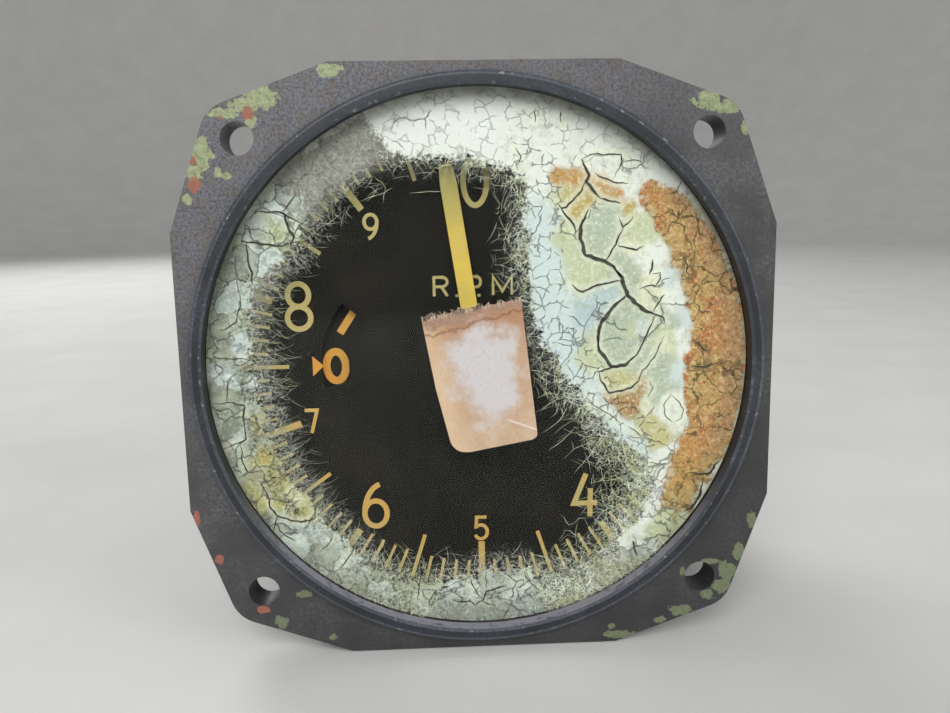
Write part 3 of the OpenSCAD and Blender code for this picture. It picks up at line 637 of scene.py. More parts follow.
# Outlines in mm across the window: of the open part, of the part with no needles and of the rust.
# The spots of each stain are x, z and spread.
open_outline = [
    (-5.0, 28.8), (-8.8, 28.8), (-11.4, 29.3), (-13.4, 31.6), (-15.2, 34.8), (-27.0, 27.0),
    (-26.0, 24.4), (-23.6, 24.2), (-22.8, 21.4), (-24.4, 18.0), (-26.0, 15.8), (-29.0, 13.9),
    (-31.0, 12.0), (-31.8, 6.0), (-31.4, 0.0), (-31.0, -3.9), (-30.2, -7.4), (-29.4, -10.4),
    (-28.4, -14.0), (-26.0, -17.2), (-24.0, -19.6), (-23.2, -21.8), (-20.8, -23.4), (-18.8, -25.4),
    (-17.2, -28.4), (-14.2, -30.6), (-10.3, -31.8), (-8.2, -32.3), (-5.0, -31.7), (-2.5, -30.9),
    (2.8, -29.9), (5.8, -30.1), (8.1, -31.0), (9.0, -33.4), (8.6, -35.2), (10.8, -37.2), (17.4, -34.8),
    (24.0, -30.6), (27.6, -27.0), (26.3, -27.0), (22.9, -29.3), (21.4, -29.7), (20.0, -29.3),
    (19.5, -27.6), (19.6, -25.7), (21.8, -24.3), (23.1, -22.2), (24.1, -19.6), (24.5, -17.4),
    (24.2, -15.4), (22.4, -13.4), (19.6, -10.8), (16.4, -7.4), (13.6, -3.6), (11.2, -0.4), (9.2, 2.4),
    (7.8, 6.4), (7.1, 12.0), (6.8, 18.0), (6.8, 23.6), (5.8, 26.2), (3.4, 27.4), (-0.8, 28.6)]
clear_outline = [
    (-12.6, 26.8), (-3.9, 26.6), (3.2, 24.6), (2.8, 18.0), (3.2, 11.4), (6.0, 8.0), (8.0, -2.0),
    (12.6, -9.4), (17.0, -17.0), (15.0, -25.0), (8.0, -28.4), (0.0, -29.2), (-8.0, -28.6),
    (-14.0, -26.4), (-19.0, -22.2), (-22.8, -16.0), (-25.4, -9.6), (-27.2, -3.0), (-27.4, 4.0),
    (-26.0, 10.6), (-21.6, 18.0), (-17.6, 22.6)]
rust_outline = [
    (22.3, 23.7), (24.5, 19.8), (26.5, 15.9), (28.3, 11.9), (29.4, 7.9), (29.7, 3.9), (29.2, -0.2),
    (29.1, -3.6), (29.6, -7.1), (29.4, -10.6), (27.7, -13.0), (27.4, -15.6), (26.3, -18.3),
    (26.0, -19.8), (26.6, -21.2), (28.4, -22.2), (30.2, -21.4), (31.8, -19.2), (33.6, -16.4),
    (36.4, -11.9), (37.6, -6.3), (38.0, 0.0), (37.6, 6.0), (36.3, 11.0), (33.6, 16.7), (30.4, 21.6),
    (27.0, 24.6), (24.0, 25.2)]
WHITE = (216, 218, 212)
COOL_WHITE = (194, 205, 205)
GREENISH = (144, 152, 136)
PALE_GREY = (178, 188, 181)
DULL_GREY = (90, 100, 96)
CREAM = (206, 205, 178)
MOSS = (172, 166, 100)
GREY_GREEN = (164, 175, 156)
LEAF = (182, 187, 152)
SLATE = (170, 186, 190)
YELLOW = (180, 174, 122)
OCHRE = (174, 150, 78)
ORANGE = (176, 130, 56)
BROWN = (160, 120, 62)
stains = {
    WHITE: [
        (-6, 32, 8), (7, 31, 8), (18, 28.5, 5), (23.5, 27, 4), (23.6, 14.6, 1.4), (27.4, -7, 1.6),
        (25.9, -14.6, 1.6), (25.4, -18.4, 1.4), (29, 3, 1.2), (27.6, 9, 1.2), (24.6, -20.6, 1.2),
        (23.6, -22.8, 1.2), (22.3, -24.9, 1.3), (21.6, -26.8, 1.8)],
    COOL_WHITE: [
        (8.6, 20, 2.6), (9, 14, 3), (10, 8, 3), (11.4, 2, 2.8), (14.5, -3.8, 2), (17.2, -6.6, 1.6),
        (20.4, -9.8, 1.6), (23.4, -12.8, 1.6), (23.4, -27.6, 1.8), (28.8, 6.6, 1.0), (27.2, 12, 1.1),
        (28.4, -1.5, 1.2), (23.2, 5.2, 0.9), (-32.4, 4, 1.2), (-35.4, -0.7, 1.3), (-31.6, -1.6, 1)],
    CREAM: [(24.2, 9, 1.1), (24.6, 11.8, 1), (21.6, 16.4, 0.9), (23.8, -6.4, 0.8), (26.8, 2.4, 0.9)],
    DULL_GREY: [(-28.6, -23.9, 1.6), (-25.2, -27, 1.6), (-32.9, 10, 1.3), (-30.5, -22.6, 1.2)],
    PALE_GREY: [
        (-24.5, 22.1, 2), (-30, 15.4, 2.2), (-29.8, 20.2, 1.6), (-23, -24.5, 3), (-27.4, -23.8, 2),
        (-18.7, -28.4, 2.4), (-6.6, -33.9, 2.2), (-1, -34, 3.5), (5, -33.5, 4)],
    GREENISH: [
        (-32, 10.5, 3), (-34.5, 7, 2), (-35, 14, 3), (-34, -4, 4), (-33.4, -10, 4), (-15, -33, 5)],
    GREY_GREEN: [
        (16.8, 17.3, 2.6), (18, 21, 2.2), (20.4, 13, 1.6), (21, 5, 3.4), (20.6, 1.5, 2.4),
        (25, -1.5, 2.2), (24.4, -4, 1.6), (27.2, 5.7, 0.9)],
    LEAF: [
        (15.2, 13.3, 2.4), (11.8, 23.2, 1.3), (12.4, 18, 1.9), (15.6, 1.6, 1.6), (26.2, 3, 1.5),
        (21.6, 18.6, 1.9), (27, -23.6, 2), (25.4, -25.2, 1.4), (28.4, -25.2, 1.8), (-27.5, 19.2, 1.8),
        (21.4, 4.4, 1)],
    SLATE: [(17.4, 9.3, 1.8), (15, 7.4, 1.4)],
    YELLOW: [(19.9, -2.3, 1.7), (24.3, -9.6, 1.6), (25.2, -11.4, 1), (-31.3, -7.4, 1.3)],
    MOSS: [(-30.4, -13.6, 2.4), (-25.8, -20.4, 1.6), (-28.6, -16.4, 2.4), (-31.4, -15.8, 1.2)],
    OCHRE: [
        (14, 22.8, 1.4), (13.7, 21.2, 1), (15.5, 23.1, 1), (12.4, 23.4, 1), (20.8, 21.6, 0.8),
        (-30.5, -12.4, 0.9)],
    ORANGE: [
        (11.3, 26.2, 0.7), (13.2, 26, 0.9), (14.5, 25.6, 0.9), (16.4, 25, 0.9), (17.8, 24.4, 0.9),
        (19.4, 23.3, 0.8)],
    BROWN: [(21.0, -5.8, 1.4), (23.1, -4.2, 0.9), (22.9, -2.6, 0.7), (18.4, -5.2, 0.9)],
}

# Each crack of the crust has a width and then the points it passes, in mm across the window.
cracks = [
    (0.4, [(14.4, 28.2), (15.5, 26.2), (15.1, 25.3), (16.2, 24.1), (16.9, 23.1)]),
    (0.25, [(15.1, 25.3), (14.3, 23.9), (12.4, 21.9), (11.6, 21.8), (11.1, 22.5)]),
    (0.25, [(11.6, 21.8), (12.6, 20.4), (13.5, 19.3), (13.6, 18.5)]),
    (0.5, [
        (15.4, 21.5), (14.6, 19.9), (14.2, 18.4), (14.9, 15.3), (17.7, 14.4), (19.0, 13.5),
        (20.1, 12.0)]),
    (0.5, [(19.0, 13.5), (20.1, 12.0), (21.0, 9.6), (22.3, 8.3), (23.7, 7.2), (25.1, 6.8)]),
    (0.22, [(17.7, 14.4), (19.3, 16.8), (19.7, 18.0), (20.2, 18.8)]),
    (0.2, [(16.9, 23.1), (18.1, 22.6), (19.9, 22.3)]),
    (0.22, [(19.5, 16.5), (21.0, 16.2), (22.2, 15.9), (23.1, 16.4)]),
    (0.26, [(20.1, 11.7), (18.6, 11.5), (16.3, 11.0), (14.6, 10.2), (13.6, 10.6), (13.1, 11.3)]),
    (0.45, [(21.0, 9.8), (19.3, 8.4), (17.9, 6.8), (17.1, 5.5), (16.8, 3.8), (16.9, 2.0)]),
    (0.45, [(16.8, 3.8), (16.9, 2.0), (17.9, 0.7), (18.9, -0.5), (20.7, -0.3), (22.3, 1.2)]),
    (0.22, [(21.4, 0.3), (22.3, 1.2), (23.3, 3.1), (24.0, 4.6), (24.5, 6.1), (25.1, 6.8)]),
    (0.2, [(24.6, 6.9), (26.0, 6.3), (26.3, 5.5)]),
    (0.2, [(24.6, 7.2), (25.0, 7.8), (25.7, 9.0), (26.2, 9.6)]),
    (0.15, [(22.5, 10.4), (23.4, 10.8), (24.9, 10.9), (25.6, 11.9), (25.5, 12.6), (24.4, 12.5)]),
    (0.25, [(24.4, 14.5), (24.4, 13.6), (24.0, 12.4)]),
    (0.16, [(14.4, 28.2), (15.6, 28.9), (17.5, 28.9), (19.9, 28.8), (20.0, 27.8), (18.8, 25.6)]),
    (0.1, [(20.0, 27.8), (21.3, 28.0), (22.8, 27.8)]),
    (0.16, [(16.2, 26.3), (17.5, 25.7), (19.0, 25.1), (20.9, 24.9)]),
    (0.14, [(11.6, 34.7), (11.7, 33.1)]),
    (0.14, [(8.2, 35.0), (8.1, 33.2)]),
    (0.2, [(19.7, 20.3), (20.2, 18.8), (21.6, 20.5)]),
    (0.14, [(5.4, 30.0), (6.2, 28.7), (5.6, 27.5)]),
    (0.26, [(16.6, -1.2), (18.6, -0.6), (19.4, -0.5)]),
    (0.26, [(16.9, -1.1), (17.4, -2.7), (18.4, -4.3), (21.6, -3.6), (22.6, -2.5), (23.1, -1.3)]),
    (0.15, [(22.8, -2.0), (23.1, -1.3), (24.3, 0.1), (25.3, 1.8), (26.2, 3.8)]),
    (0.12, [(24.1, -2.6), (24.7, -3.6), (24.0, -5.1)]),
    (0.12, [(27.3, -4.7), (26.2, -6.4), (26.6, -8.0), (27.8, -8.8)]),
    (0.12, [(27.8, -8.8), (28.8, -8.3), (29.2, -7.0), (28.4, -5.7), (27.3, -4.7)]),
    (0.12, [(14.9, -4.5), (16.2, -5.9), (18.3, -7.2), (20.2, -8.9)]),
    (0.1, [(24.3, -14.6), (26.5, -15.0)]),
    (0.12, [(21.2, -9.2), (23.2, -10.7)]),
    (0.26, [(30.3, -0.8), (32.0, -0.8), (33.5, -0.4)]),
    (0.3, [(30.0, -16.3), (31.6, -16.6), (33.3, -16.5), (33.9, -15.2), (34.8, -14.6)]),
    (0.36, [(32.2, -17.8), (31.8, -19.7), (30.6, -21.6), (29.6, -22.1)]),
    (0.12, [(34.3, -0.1), (35.1, -1.7), (36.8, -1.2)]),
    (0.2, [(28.8, 14.8), (29.3, 13.6), (29.2, 12.6), (29.9, 12.2)]),
    (0.2, [(30.6, 2.8), (31.4, 2.2), (32.4, 1.4)]),
    (0.2, [(-30.3, 22.1), (-28.7, 22.0), (-26.8, 21.9), (-25.2, 21.1), (-23.6, 20.2)]),
    (0.16, [(-26.4, 21.8), (-25.4, 23.0), (-24.4, 24.2)]),
    (0.3, [(-26.2, 21.8), (-25.9, 20.3), (-25.0, 18.6), (-25.5, 17.3)]),
    (0.26, [(-32.2, 18.1), (-30.5, 17.9), (-28.7, 17.6), (-26.6, 17.3), (-25.3, 17.7)]),
    (0.26, [(-31.4, 17.9), (-31.3, 15.2), (-30.9, 13.4), (-30.9, 12.2)]),
    (0.13, [(-32.6, 11.0), (-32.7, 9.4), (-33.5, 7.2), (-34.9, 6.1), (-36.2, 6.1)]),
    (0.12, [(-25.0, 18.6), (-24.2, 20.0), (-23.1, 20.9)]),
    (0.12, [(-37.6, 2.2), (-34.5, 2.0), (-31.6, 1.7)]),
    (0.14, [(-35.2, -1.2), (-35.4, -4.1)]),
    (0.2, [
        (-37.3, -4.2), (-35.1, -4.2), (-33.0, -4.7), (-33.3, -6.3), (-33.1, -9.5), (-34.7, -10.2),
        (-36.4, -10.8)]),
    (0.18, [(-33.9, -10.0), (-33.8, -13.0), (-33.1, -14.4), (-34.5, -15.1)]),
    (0.15, [(-33.1, -14.4), (-31.2, -14.2)]),
    (0.24, [
        (-31.7, -15.5), (-30.7, -17.3), (-30.3, -19.6), (-29.4, -20.9), (-26.3, -21.9), (-24.1, -21.6),
        (-23.9, -19.6)]),
    (0.12, [(-28.2, -20.8), (-27.4, -19.4), (-26.0, -18.6)]),
    (0.12, [(-28.3, -18.3), (-27.0, -16.9), (-25.6, -16.5)]),
    (0.15, [(-29.4, -20.9), (-30.1, -23.4)]),
    (0.15, [(-18.4, -25.8), (-19.8, -27.8), (-21.0, -29.2)]),
    (0.16, [(-29.7, -21.8), (-28.6, -23.8), (-26.9, -24.8)]),
    (0.14, [(-23.6, -26.4), (-22.2, -25.3), (-21.5, -24.2)]),
    (0.14, [(-9.3, -29.7), (-9.3, -31.8), (-9.8, -34.6)]),
    (0.14, [(-6.9, -32.8), (-7.5, -33.6), (-7.9, -34.5), (-8.1, -35.3)]),
    (0.24, [(-6.3, -32.5), (-5.1, -32.5)]),
    (0.14, [(-4.9, -32.8), (-4.6, -33.5)]),
    (0.26, [(-0.2, -34.8), (0.4, -33.5), (1.7, -33.2), (3.4, -32.4)]),
    (0.2, [(0.2, -34.5), (-0.2, -34.8), (-1.3, -35.4), (-2.1, -34.9), (-3.9, -34.9), (-4.8, -34.4)]),
    (0.16, [(-0.2, -34.8), (0.7, -35.4), (1.6, -35.6)]),
    (0.18, [(-0.4, -34.3), (-1.3, -33.2), (-1.7, -32.2), (-1.9, -31.3)]),
    (0.12, [(-1.2, -33.3), (-0.6, -32.7)]),
    (0.12, [(0.4, -30.1), (0.3, -33.3)]),
    (0.14, [(2.8, -30.2), (3.9, -31.3), (4.9, -32.0), (5.9, -31.8), (5.8, -32.8)]),
    (0.16, [(4.9, -32.1), (4.4, -33.1), (4.3, -34.1), (3.8, -34.8)]),
    (0.14, [(6.0, -30.5), (6.4, -31.7), (7.3, -32.6), (8.2, -33.6)]),
    (0.3, [(22.0, -26.4), (22.3, -27.1), (22.4, -28.0), (22.6, -28.8)]),
    (0.16, [(22.3, -27.3), (23.5, -27.1)]),
]


def depth_inside(points, outline):
    """Distance of each point from a closed outline, in mm, positive inside it."""
    starts = np.array(outline)
    runs = np.roll(starts, -1, axis=0) - starts
    offsets = points[:, None, :] - starts[None]
    along = np.clip((offsets * runs).sum(2) / (runs * runs).sum(1), 0, 1)
    nearest = np.linalg.norm(offsets - along[..., None] * runs, axis=2).min(1)
    above = starts[:, 1] > points[:, 1:2]
    end_above = np.roll(starts[:, 1], -1) > points[:, 1:2]
    rise = np.where(runs[:, 1] == 0, 1e-9, runs[:, 1])
    crossing = starts[:, 0] + (points[:, 1:2] - starts[:, 1]) / rise * runs[:, 0]
    inside = ((above != end_above) & (points[:, :1] < crossing)).sum(1) % 2 == 1
    return np.where(inside, nearest, -nearest)


def crack_distance(points):
    """Distance of each point from the nearest crack, in mm."""
    nearest = np.full(len(points), 99.0)
    for width, path in cracks:
        for first, second in zip(np.array(path), np.array(path)[1:]):
            run = second - first
            along = np.clip((points - first) @ run / (run @ run), 0, 1)
            gap = np.linalg.norm(points - first - along[:, None] * run, axis=1)
            nearest = np.minimum(nearest, gap)
    return nearest


def set_values(mesh, name, values):
    """Stores one number for each vertex of a mesh, for a material or a geometry tree to read."""
    mesh.attributes.new(name, "FLOAT", "POINT").data.foreach_set("value", np.asarray(values, float))


def read(tree, name):
    return add(tree, "ShaderNodeAttribute", attribute_name=name).outputs["Fac"]


def clear_glass(name):
    """Polished glass, a little dusty, that lets the lamps shine through to what is behind it."""
    finish, shader, place = new_finish(name, transmission_weight=1.0, ior=1.46)
    tree = finish.node_tree
    shader.inputs["Specular Tint"].default_value = (0.12, 0.12, 0.12, 1.0)
    feed(shader, "Roughness", fade(grain(place, 8 * MM, 6), 0.5, 0.8, 0.015, 0.06))
    feed(shader, "Base Color", tint(grain(place, 12 * MM), (250, 252, 250), (244, 248, 244)))
    path = add(tree, "ShaderNodeLightPath").outputs["Is Shadow Ray"]
    through = add(tree, "ShaderNodeBsdfTransparent").outputs[0]
    both = link("ShaderNodeMixShader", {0: path, 1: shader.outputs[0], 2: through})[0]
    feed(tree.nodes["Material Output"], "Surface", both)
    return finish


window_glass = clear_glass("window_glass")
for name in ("rear_pane", "front_pane"):
    dress(name, window_glass)


def crooked_cells(place, cell, feature):
    """Cells of about this size, whose edges a noise bends."""
    inputs = {"Vector": place, "Scale": 1 / (cell * 0.5), "Detail": 4.0}
    shift = link("ShaderNodeTexNoise", inputs)[1]
    inputs = {0: shift, 1: (cell * 0.55,) * 3, 2: place}
    bent = link("ShaderNodeVectorMath", inputs, operation="MULTIPLY_ADD")[0]
    return link("ShaderNodeTexVoronoi", {"Vector": bent, "Scale": 1 / cell}, feature=feature)


def crazing(place, cell, width, broken):
    """Mask of fine cracks about cells of this size, which a second noise breaks up."""
    edge = crooked_cells(place, cell, "DISTANCE_TO_EDGE")["Distance"]
    shown = fade(grain(place, cell * 1.5, 2), broken, broken + 0.08)
    return times(fade(edge, width, width * 0.3), shown)


def blend_heights(share, first, second):
    """A quarter of the first height, turned towards the whole of the second by a share of 0 to 1."""
    return link("ShaderNodeMix", {0: share, 2: times(first, 0.25), 3: second})[0]


def film_finish():
    """Old film: stained crust with fine cracks, rust, a thin haze over the open part, and a brown-grey
    rim that is partly discoloured and partly painted shade under the bezel.
    """
    finish, shader, place = new_finish("film", roughness=0.7)
    tree = finish.node_tree
    tone = add(tree, "ShaderNodeAttribute", attribute_name="tone").outputs["Color"]
    crack, cover, reach = (read(tree, name) for name in ("crack", "cover", "reach"))
    height = parts_of(place)[2]
    low_down = fade(height, -26 * MM, -32 * MM)
    lumps = grain(place, 2.4 * MM, 8, 0.65)
    fine = grain(place, 0.45 * MM, 6, 0.7)
    wander = fade(lumps, 0.2, 0.8, -1.0, 1.0)
    fray = fade(fine, 0.25, 0.75, -0.7, 0.7)
    depth = plus(read(tree, "depth"), plus(wander, fray))
    rust = fade(plus(read(tree, "rust"), wander), -0.4, 0.5)
    on_plates = fade(crack, 3.5, 1.5)
    clouds = times(fade(grain(place, 0.9 * MM, 8, 0.75), 0.48, 0.6, 0, 0.42), on_plates)
    paler = times(fade(grain(place, 0.6 * MM, 8, 0.75), 0.5, 0.62, 0, 0.55), on_plates)
    beside_crack = plus(crack, fade(fine, 0.25, 0.75, -0.35, 0.35))
    thin_side = fade(cover, 0.9, 0.5)
    cells = crooked_cells(place, 3.4 * MM, "F1")["Color"]
    shade = link("ShaderNodeSeparateColor", {0: cells})[0]
    lines = times(crazing(place, 1.7 * MM, 0.045, 0.46), read(tree, "stripe"))
    lines = greater(lines, crazing(place, 5.0 * MM, 0.022, 0.54))
    lines = greater(lines, times(crazing(place, 3.4 * MM, 0.03, 0.42), thin_side))
    ragged_reach = plus(reach, fade(lumps, 0.2, 0.8, -1.2, 1.2))
    brown = times(fade(lumps, 0.42, 0.56), fade(ragged_reach, 35.0, 36.6, 0, 0.5))
    crust = layered(
        tone,
        (clouds, (150, 148, 112)),
        (times(paler, fade(cover, 0.4, 0.9, 0.4, 1.0)), (222, 224, 208)),
        (fade(fine, 0.5, 0.72, 0, 0.36), (232, 235, 231)),
        (fade(beside_crack, 1.0, 0.35, 0, 0.4), (226, 228, 206)),
        (times(thin_side, fade(shade, 0.45, 0.95, 0, 0.42)), (116, 122, 108)),
        (times(thin_side, fade(shade, 0.35, 0.05, 0, 0.5)), (206, 217, 212)),
        (times(lines, 0.62), (84, 92, 92)),
        # Painted shade and discolouration: the crust turns brown-grey at the very rim, under the bezel.
        (fade(ragged_reach, 36.8, 38.6, 0, 0.45), (124, 116, 104)),
        (times(brown, low_down), (104, 96, 82)))
    crumbs = grain(place, 1.1 * MM, 9, 0.72)
    grains = grain(place, 0.6 * MM, 5, 0.7)
    pits = greater(fade(crumbs, 0.45, 0.35, 0, 0.9), crazing(place, 4.0 * MM, 0.03, 0.44))
    parted = times(fade(crack, 1.5, 0.3), fade(crumbs, 0.56, 0.44, 0, 0.85))
    rusty = layered(
        (178, 122, 66),
        (fade(grain(place, 6 * MM, 3), 0.4, 0.6), (176, 146, 88)),
        (fade(lumps, 0.5, 0.62), (166, 98, 52)),
        (fade(plus(reach, wander), 34.2, 36.0, 0, 0.7), (166, 134, 98)),
        (fade(crumbs, 0.5, 0.64, 0, 0.8), (208, 178, 128)),
        (fade(fine, 0.5, 0.62, 0, 0.55), (218, 190, 142)),
        (fade(grains, 0.56, 0.66, 0, 0.7), (172, 86, 46)),
        (fade(fine, 0.46, 0.36, 0, 0.6), (112, 80, 44)),
        (fade(height, -8 * MM, -20 * MM, 0, 0.6), (180, 152, 86)),
        (greater(pits, parted), (98, 78, 44)))
    haze = tint(fade(fine, 0.35, 0.65), (134, 129, 123), (170, 168, 162))
    solid = fade(depth, -0.6, 0.6)
    feed(shader, "Base Color", layered(haze, (solid, crust), (rust, rusty)))
    thick = fade(times(plus(fine, lumps), 0.5), 0.4, 0.54, cover, 1.0)
    veil = times(fade(depth, -4.0, 0.0), fade(cover, 0.4, 1.0, 0.65, 0.3))
    veil = times(veil, fade(fine, 0.42, 0.62))
    rim_veil = times(fade(ragged_reach, 31.5, 35.5, 0, 0.8), fade(low_down, 0, 1, 1, 0.6))
    bloom = times(read(tree, "haze"), fade(lumps, 0.3, 0.6, 0.55, 0.8))
    veil = greater(greater(veil, rim_veil), bloom)
    feed(shader, "Alpha", greater(greater(times(solid, thick), veil), rust))
    raise_by(shader, minus(blend_heights(rust, fine, crumbs), lines), 0.22 * MM)
    return finish


film_form = bmesh.new()
RINGS = 96
SPOKES = 288
centre_point = film_form.verts.new((0, FILM_MIDDLE * MM, 0))
film_rows = []
for ring in range(1, RINGS + 1):
    reach = FILM_RADIUS * MM * ring / RINGS
    angles = [2 * math.pi * k / SPOKES for k in range(SPOKES)]
    places = [(reach * math.cos(a), FILM_MIDDLE * MM, reach * math.sin(a)) for a in angles]
    film_rows.append([film_form.verts.new(place) for place in places])
for k in range(SPOKES):
    film_form.faces.new((centre_point, film_rows[0][k], film_rows[0][(k + 1) % SPOKES]))
for inner, outer in zip(film_rows, film_rows[1:]):
    for k in range(SPOKES):
        follow = (k + 1) % SPOKES
        film_form.faces.new((inner[k], outer[k], outer[follow], inner[follow]))
film = new_piece("film", film_form, film_finish())
across = np.array([(v.co.x, v.co.z) for v in film.data.vertices]) / MM
reach_of = np.linalg.norm(across, axis=1)
film_depth = -depth_inside(across, open_outline)
film_rust = depth_inside(across, rust_outline) * (1 - 0.65 * np.clip((-across[:, 1] - 14) / 6, 0, 1))
tone_sum = np.zeros((len(across), 3))
tone_weight = np.full((len(across), 1), 1e-9)
RIPPLE_SEED = 7
ripple.seed_set(RIPPLE_SEED)
shifts = np.array([ripple.noise_vector(v.co / (1.5 * MM)) for v in film.data.vertices])[:, ::2]
for stain, spots in stains.items():
    for x, z, spread in spots:
        gap = np.linalg.norm(across + 0.8 * shifts - (x, z), axis=1) / spread
        weight = spread ** -1.5 * np.exp(-1.5 * gap ** 2.4)[:, None] + 1e-7
        tone_sum += weight * np.array(screen_colour(*stain)[:3])
        tone_weight += weight
tone_values = np.ones((len(across), 4))
tone_values[:, :3] = tone_sum / tone_weight
film.data.attributes.new("tone", "FLOAT_COLOR", "POINT").data.foreach_set("color", tone_values.ravel())
left_side = np.clip((-across[:, 0] - 14) / 6, 0, 1)
low_side = np.clip((-across[:, 1] - 24) / 4, 0, 1)
right_stripe = (across[:, 0] > 3) & (across[:, 1] > -24) & (film_depth < 5)
top_crust = 0.45 * np.clip((across[:, 1] - 26) / 2, 0, 1) * (across[:, 0] > -15)
upper_left = np.clip((0.9 - np.abs(np.arctan2(across[:, 1], -across[:, 0]) - 0.95)) / 0.45, 0, 1)
haze_share = upper_left * np.clip((reach_of - 29.6) / 2.6, 0, 1)
film_values = {
    "depth": film_depth,
    "rust": film_rust,
    "crack": crack_distance(across),
    "reach": reach_of,
    "stripe": np.maximum(right_stripe, top_crust),
    "cover": 1 - 0.6 * np.maximum(left_side, low_side),
    "haze": haze_share,
}
for name, values in film_values.items():
    set_values(film.data, name, values)
for vertex, rust_depth in zip(film.data.vertices, film_rust):
    crusted = min(1.0, max(0.0, rust_depth / 1.5))
    lump = 0.5 + 0.5 * ripple.fractal(vertex.co / (1.4 * MM), 1.0, 2.0, 4)
    vertex.co.y -= crusted * min(0.1, 0.02 + 0.08 * lump) * MM
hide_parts("interlayer")
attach(film, "housing")

# Cracks: where the film has shrunk its crust has parted into plates. The gaps between them are open
# and dark, waver a little and narrow towards their ends.


def ribbon(form, path, width, level, waver):
    """A flat wavering strip along a path of points in mm, narrower at both ends."""
    points = [Vector(path[0])]
    for first, second in zip(path, path[1:]):
        steps = max(1, round((Vector(second) - Vector(first)).length / 0.3))
        points += [Vector(first).lerp(Vector(second), k / steps) for k in range(1, steps + 1)]
    for k in range(1, len(points) - 1):
        shift = ripple.noise_vector(Vector((*points[k], 2.0)) / 0.9) * waver
        points[k] += shift.xy
    rows = []
    for k, point in enumerate(points):
        way = (points[min(k + 1, len(points) - 1)] - points[max(k - 1, 0)]).normalized()
        share = k / (len(points) - 1)
        rough = 1 + 0.5 * ripple.noise(Vector((*point, 5.0)) / 0.5)
        half = width / 2 * rough * min(1.0, 0.25 + 3 * min(share, 1 - share))
        side = Vector((-way.y, way.x)) * half
        ends = [point + side, point - side]
        rows.append([form.verts.new((p.x * MM, level * MM, p.y * MM)) for p in ends])
    for first, second in zip(rows, rows[1:]):
        form.faces.new((first[0], first[1], second[1], second[0]))


def face_front(form):
    """Turns flat faces so that all of them look to the front."""
    form.normal_update()
    bmesh.ops.reverse_faces(form, faces=[face for face in form.faces if face.normal.y > 0])


CRACK_WAVER = 0.22
crack_level = FILM_FRONT - 0.01
crack_form = bmesh.new()
for width, path in cracks:
    ribbon(crack_form, path, width, crack_level, CRACK_WAVER)
face_front(crack_form)
crack_shadow = matt("crack_shadow", (42, 44, 40), (72, 72, 63), 0.8 * MM, 0.9)
crack_piece = new_piece("cracks", crack_form, crack_shadow)
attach(crack_piece, "housing")

# Crystals: fine curled needles in the film at the edge of the crust, thick beside it and thinning out
# over the dial. At the left they lie along the radius. A few long strands reach further in.
strands = [
    [(8.0, -6.9), (11.0, -5.0), (14.7, -4.4)], [(8.7, -10.0), (11.0, -8.5), (12.7, -6.1)],
    [(11.9, -13.7), (13.7, -12.2), (16.7, -11.2)], [(13.4, -16.0), (15.7, -13.5), (17.7, -10.3)],
    [(15.7, -17.5), (18.2, -17.2), (21.3, -17.0)], [(9.7, -12.6), (11.7, -11.1), (13.7, -9.1)],
    [(11.3, -22.0), (12.7, -23.8), (13.5, -23.5), (14.0, -22.8), (15.5, -22.8)],
    [(11.8, -24.5), (12.8, -24.7), (13.5, -25.4), (14.2, -25.8)],
    [(-16.0, 23.1), (-14.1, 23.8), (-12.5, 24.2), (-11.3, 24.9)],
    [(-22.8, 19.0), (-20.4, 20.2), (-18.0, 22.0)],
    [(-9.2, 24.1), (-6.9, 24.3), (-4.7, 24.3)], [(-12.8, 22.8), (-12.3, 24.9), (-12.9, 26.0)]]


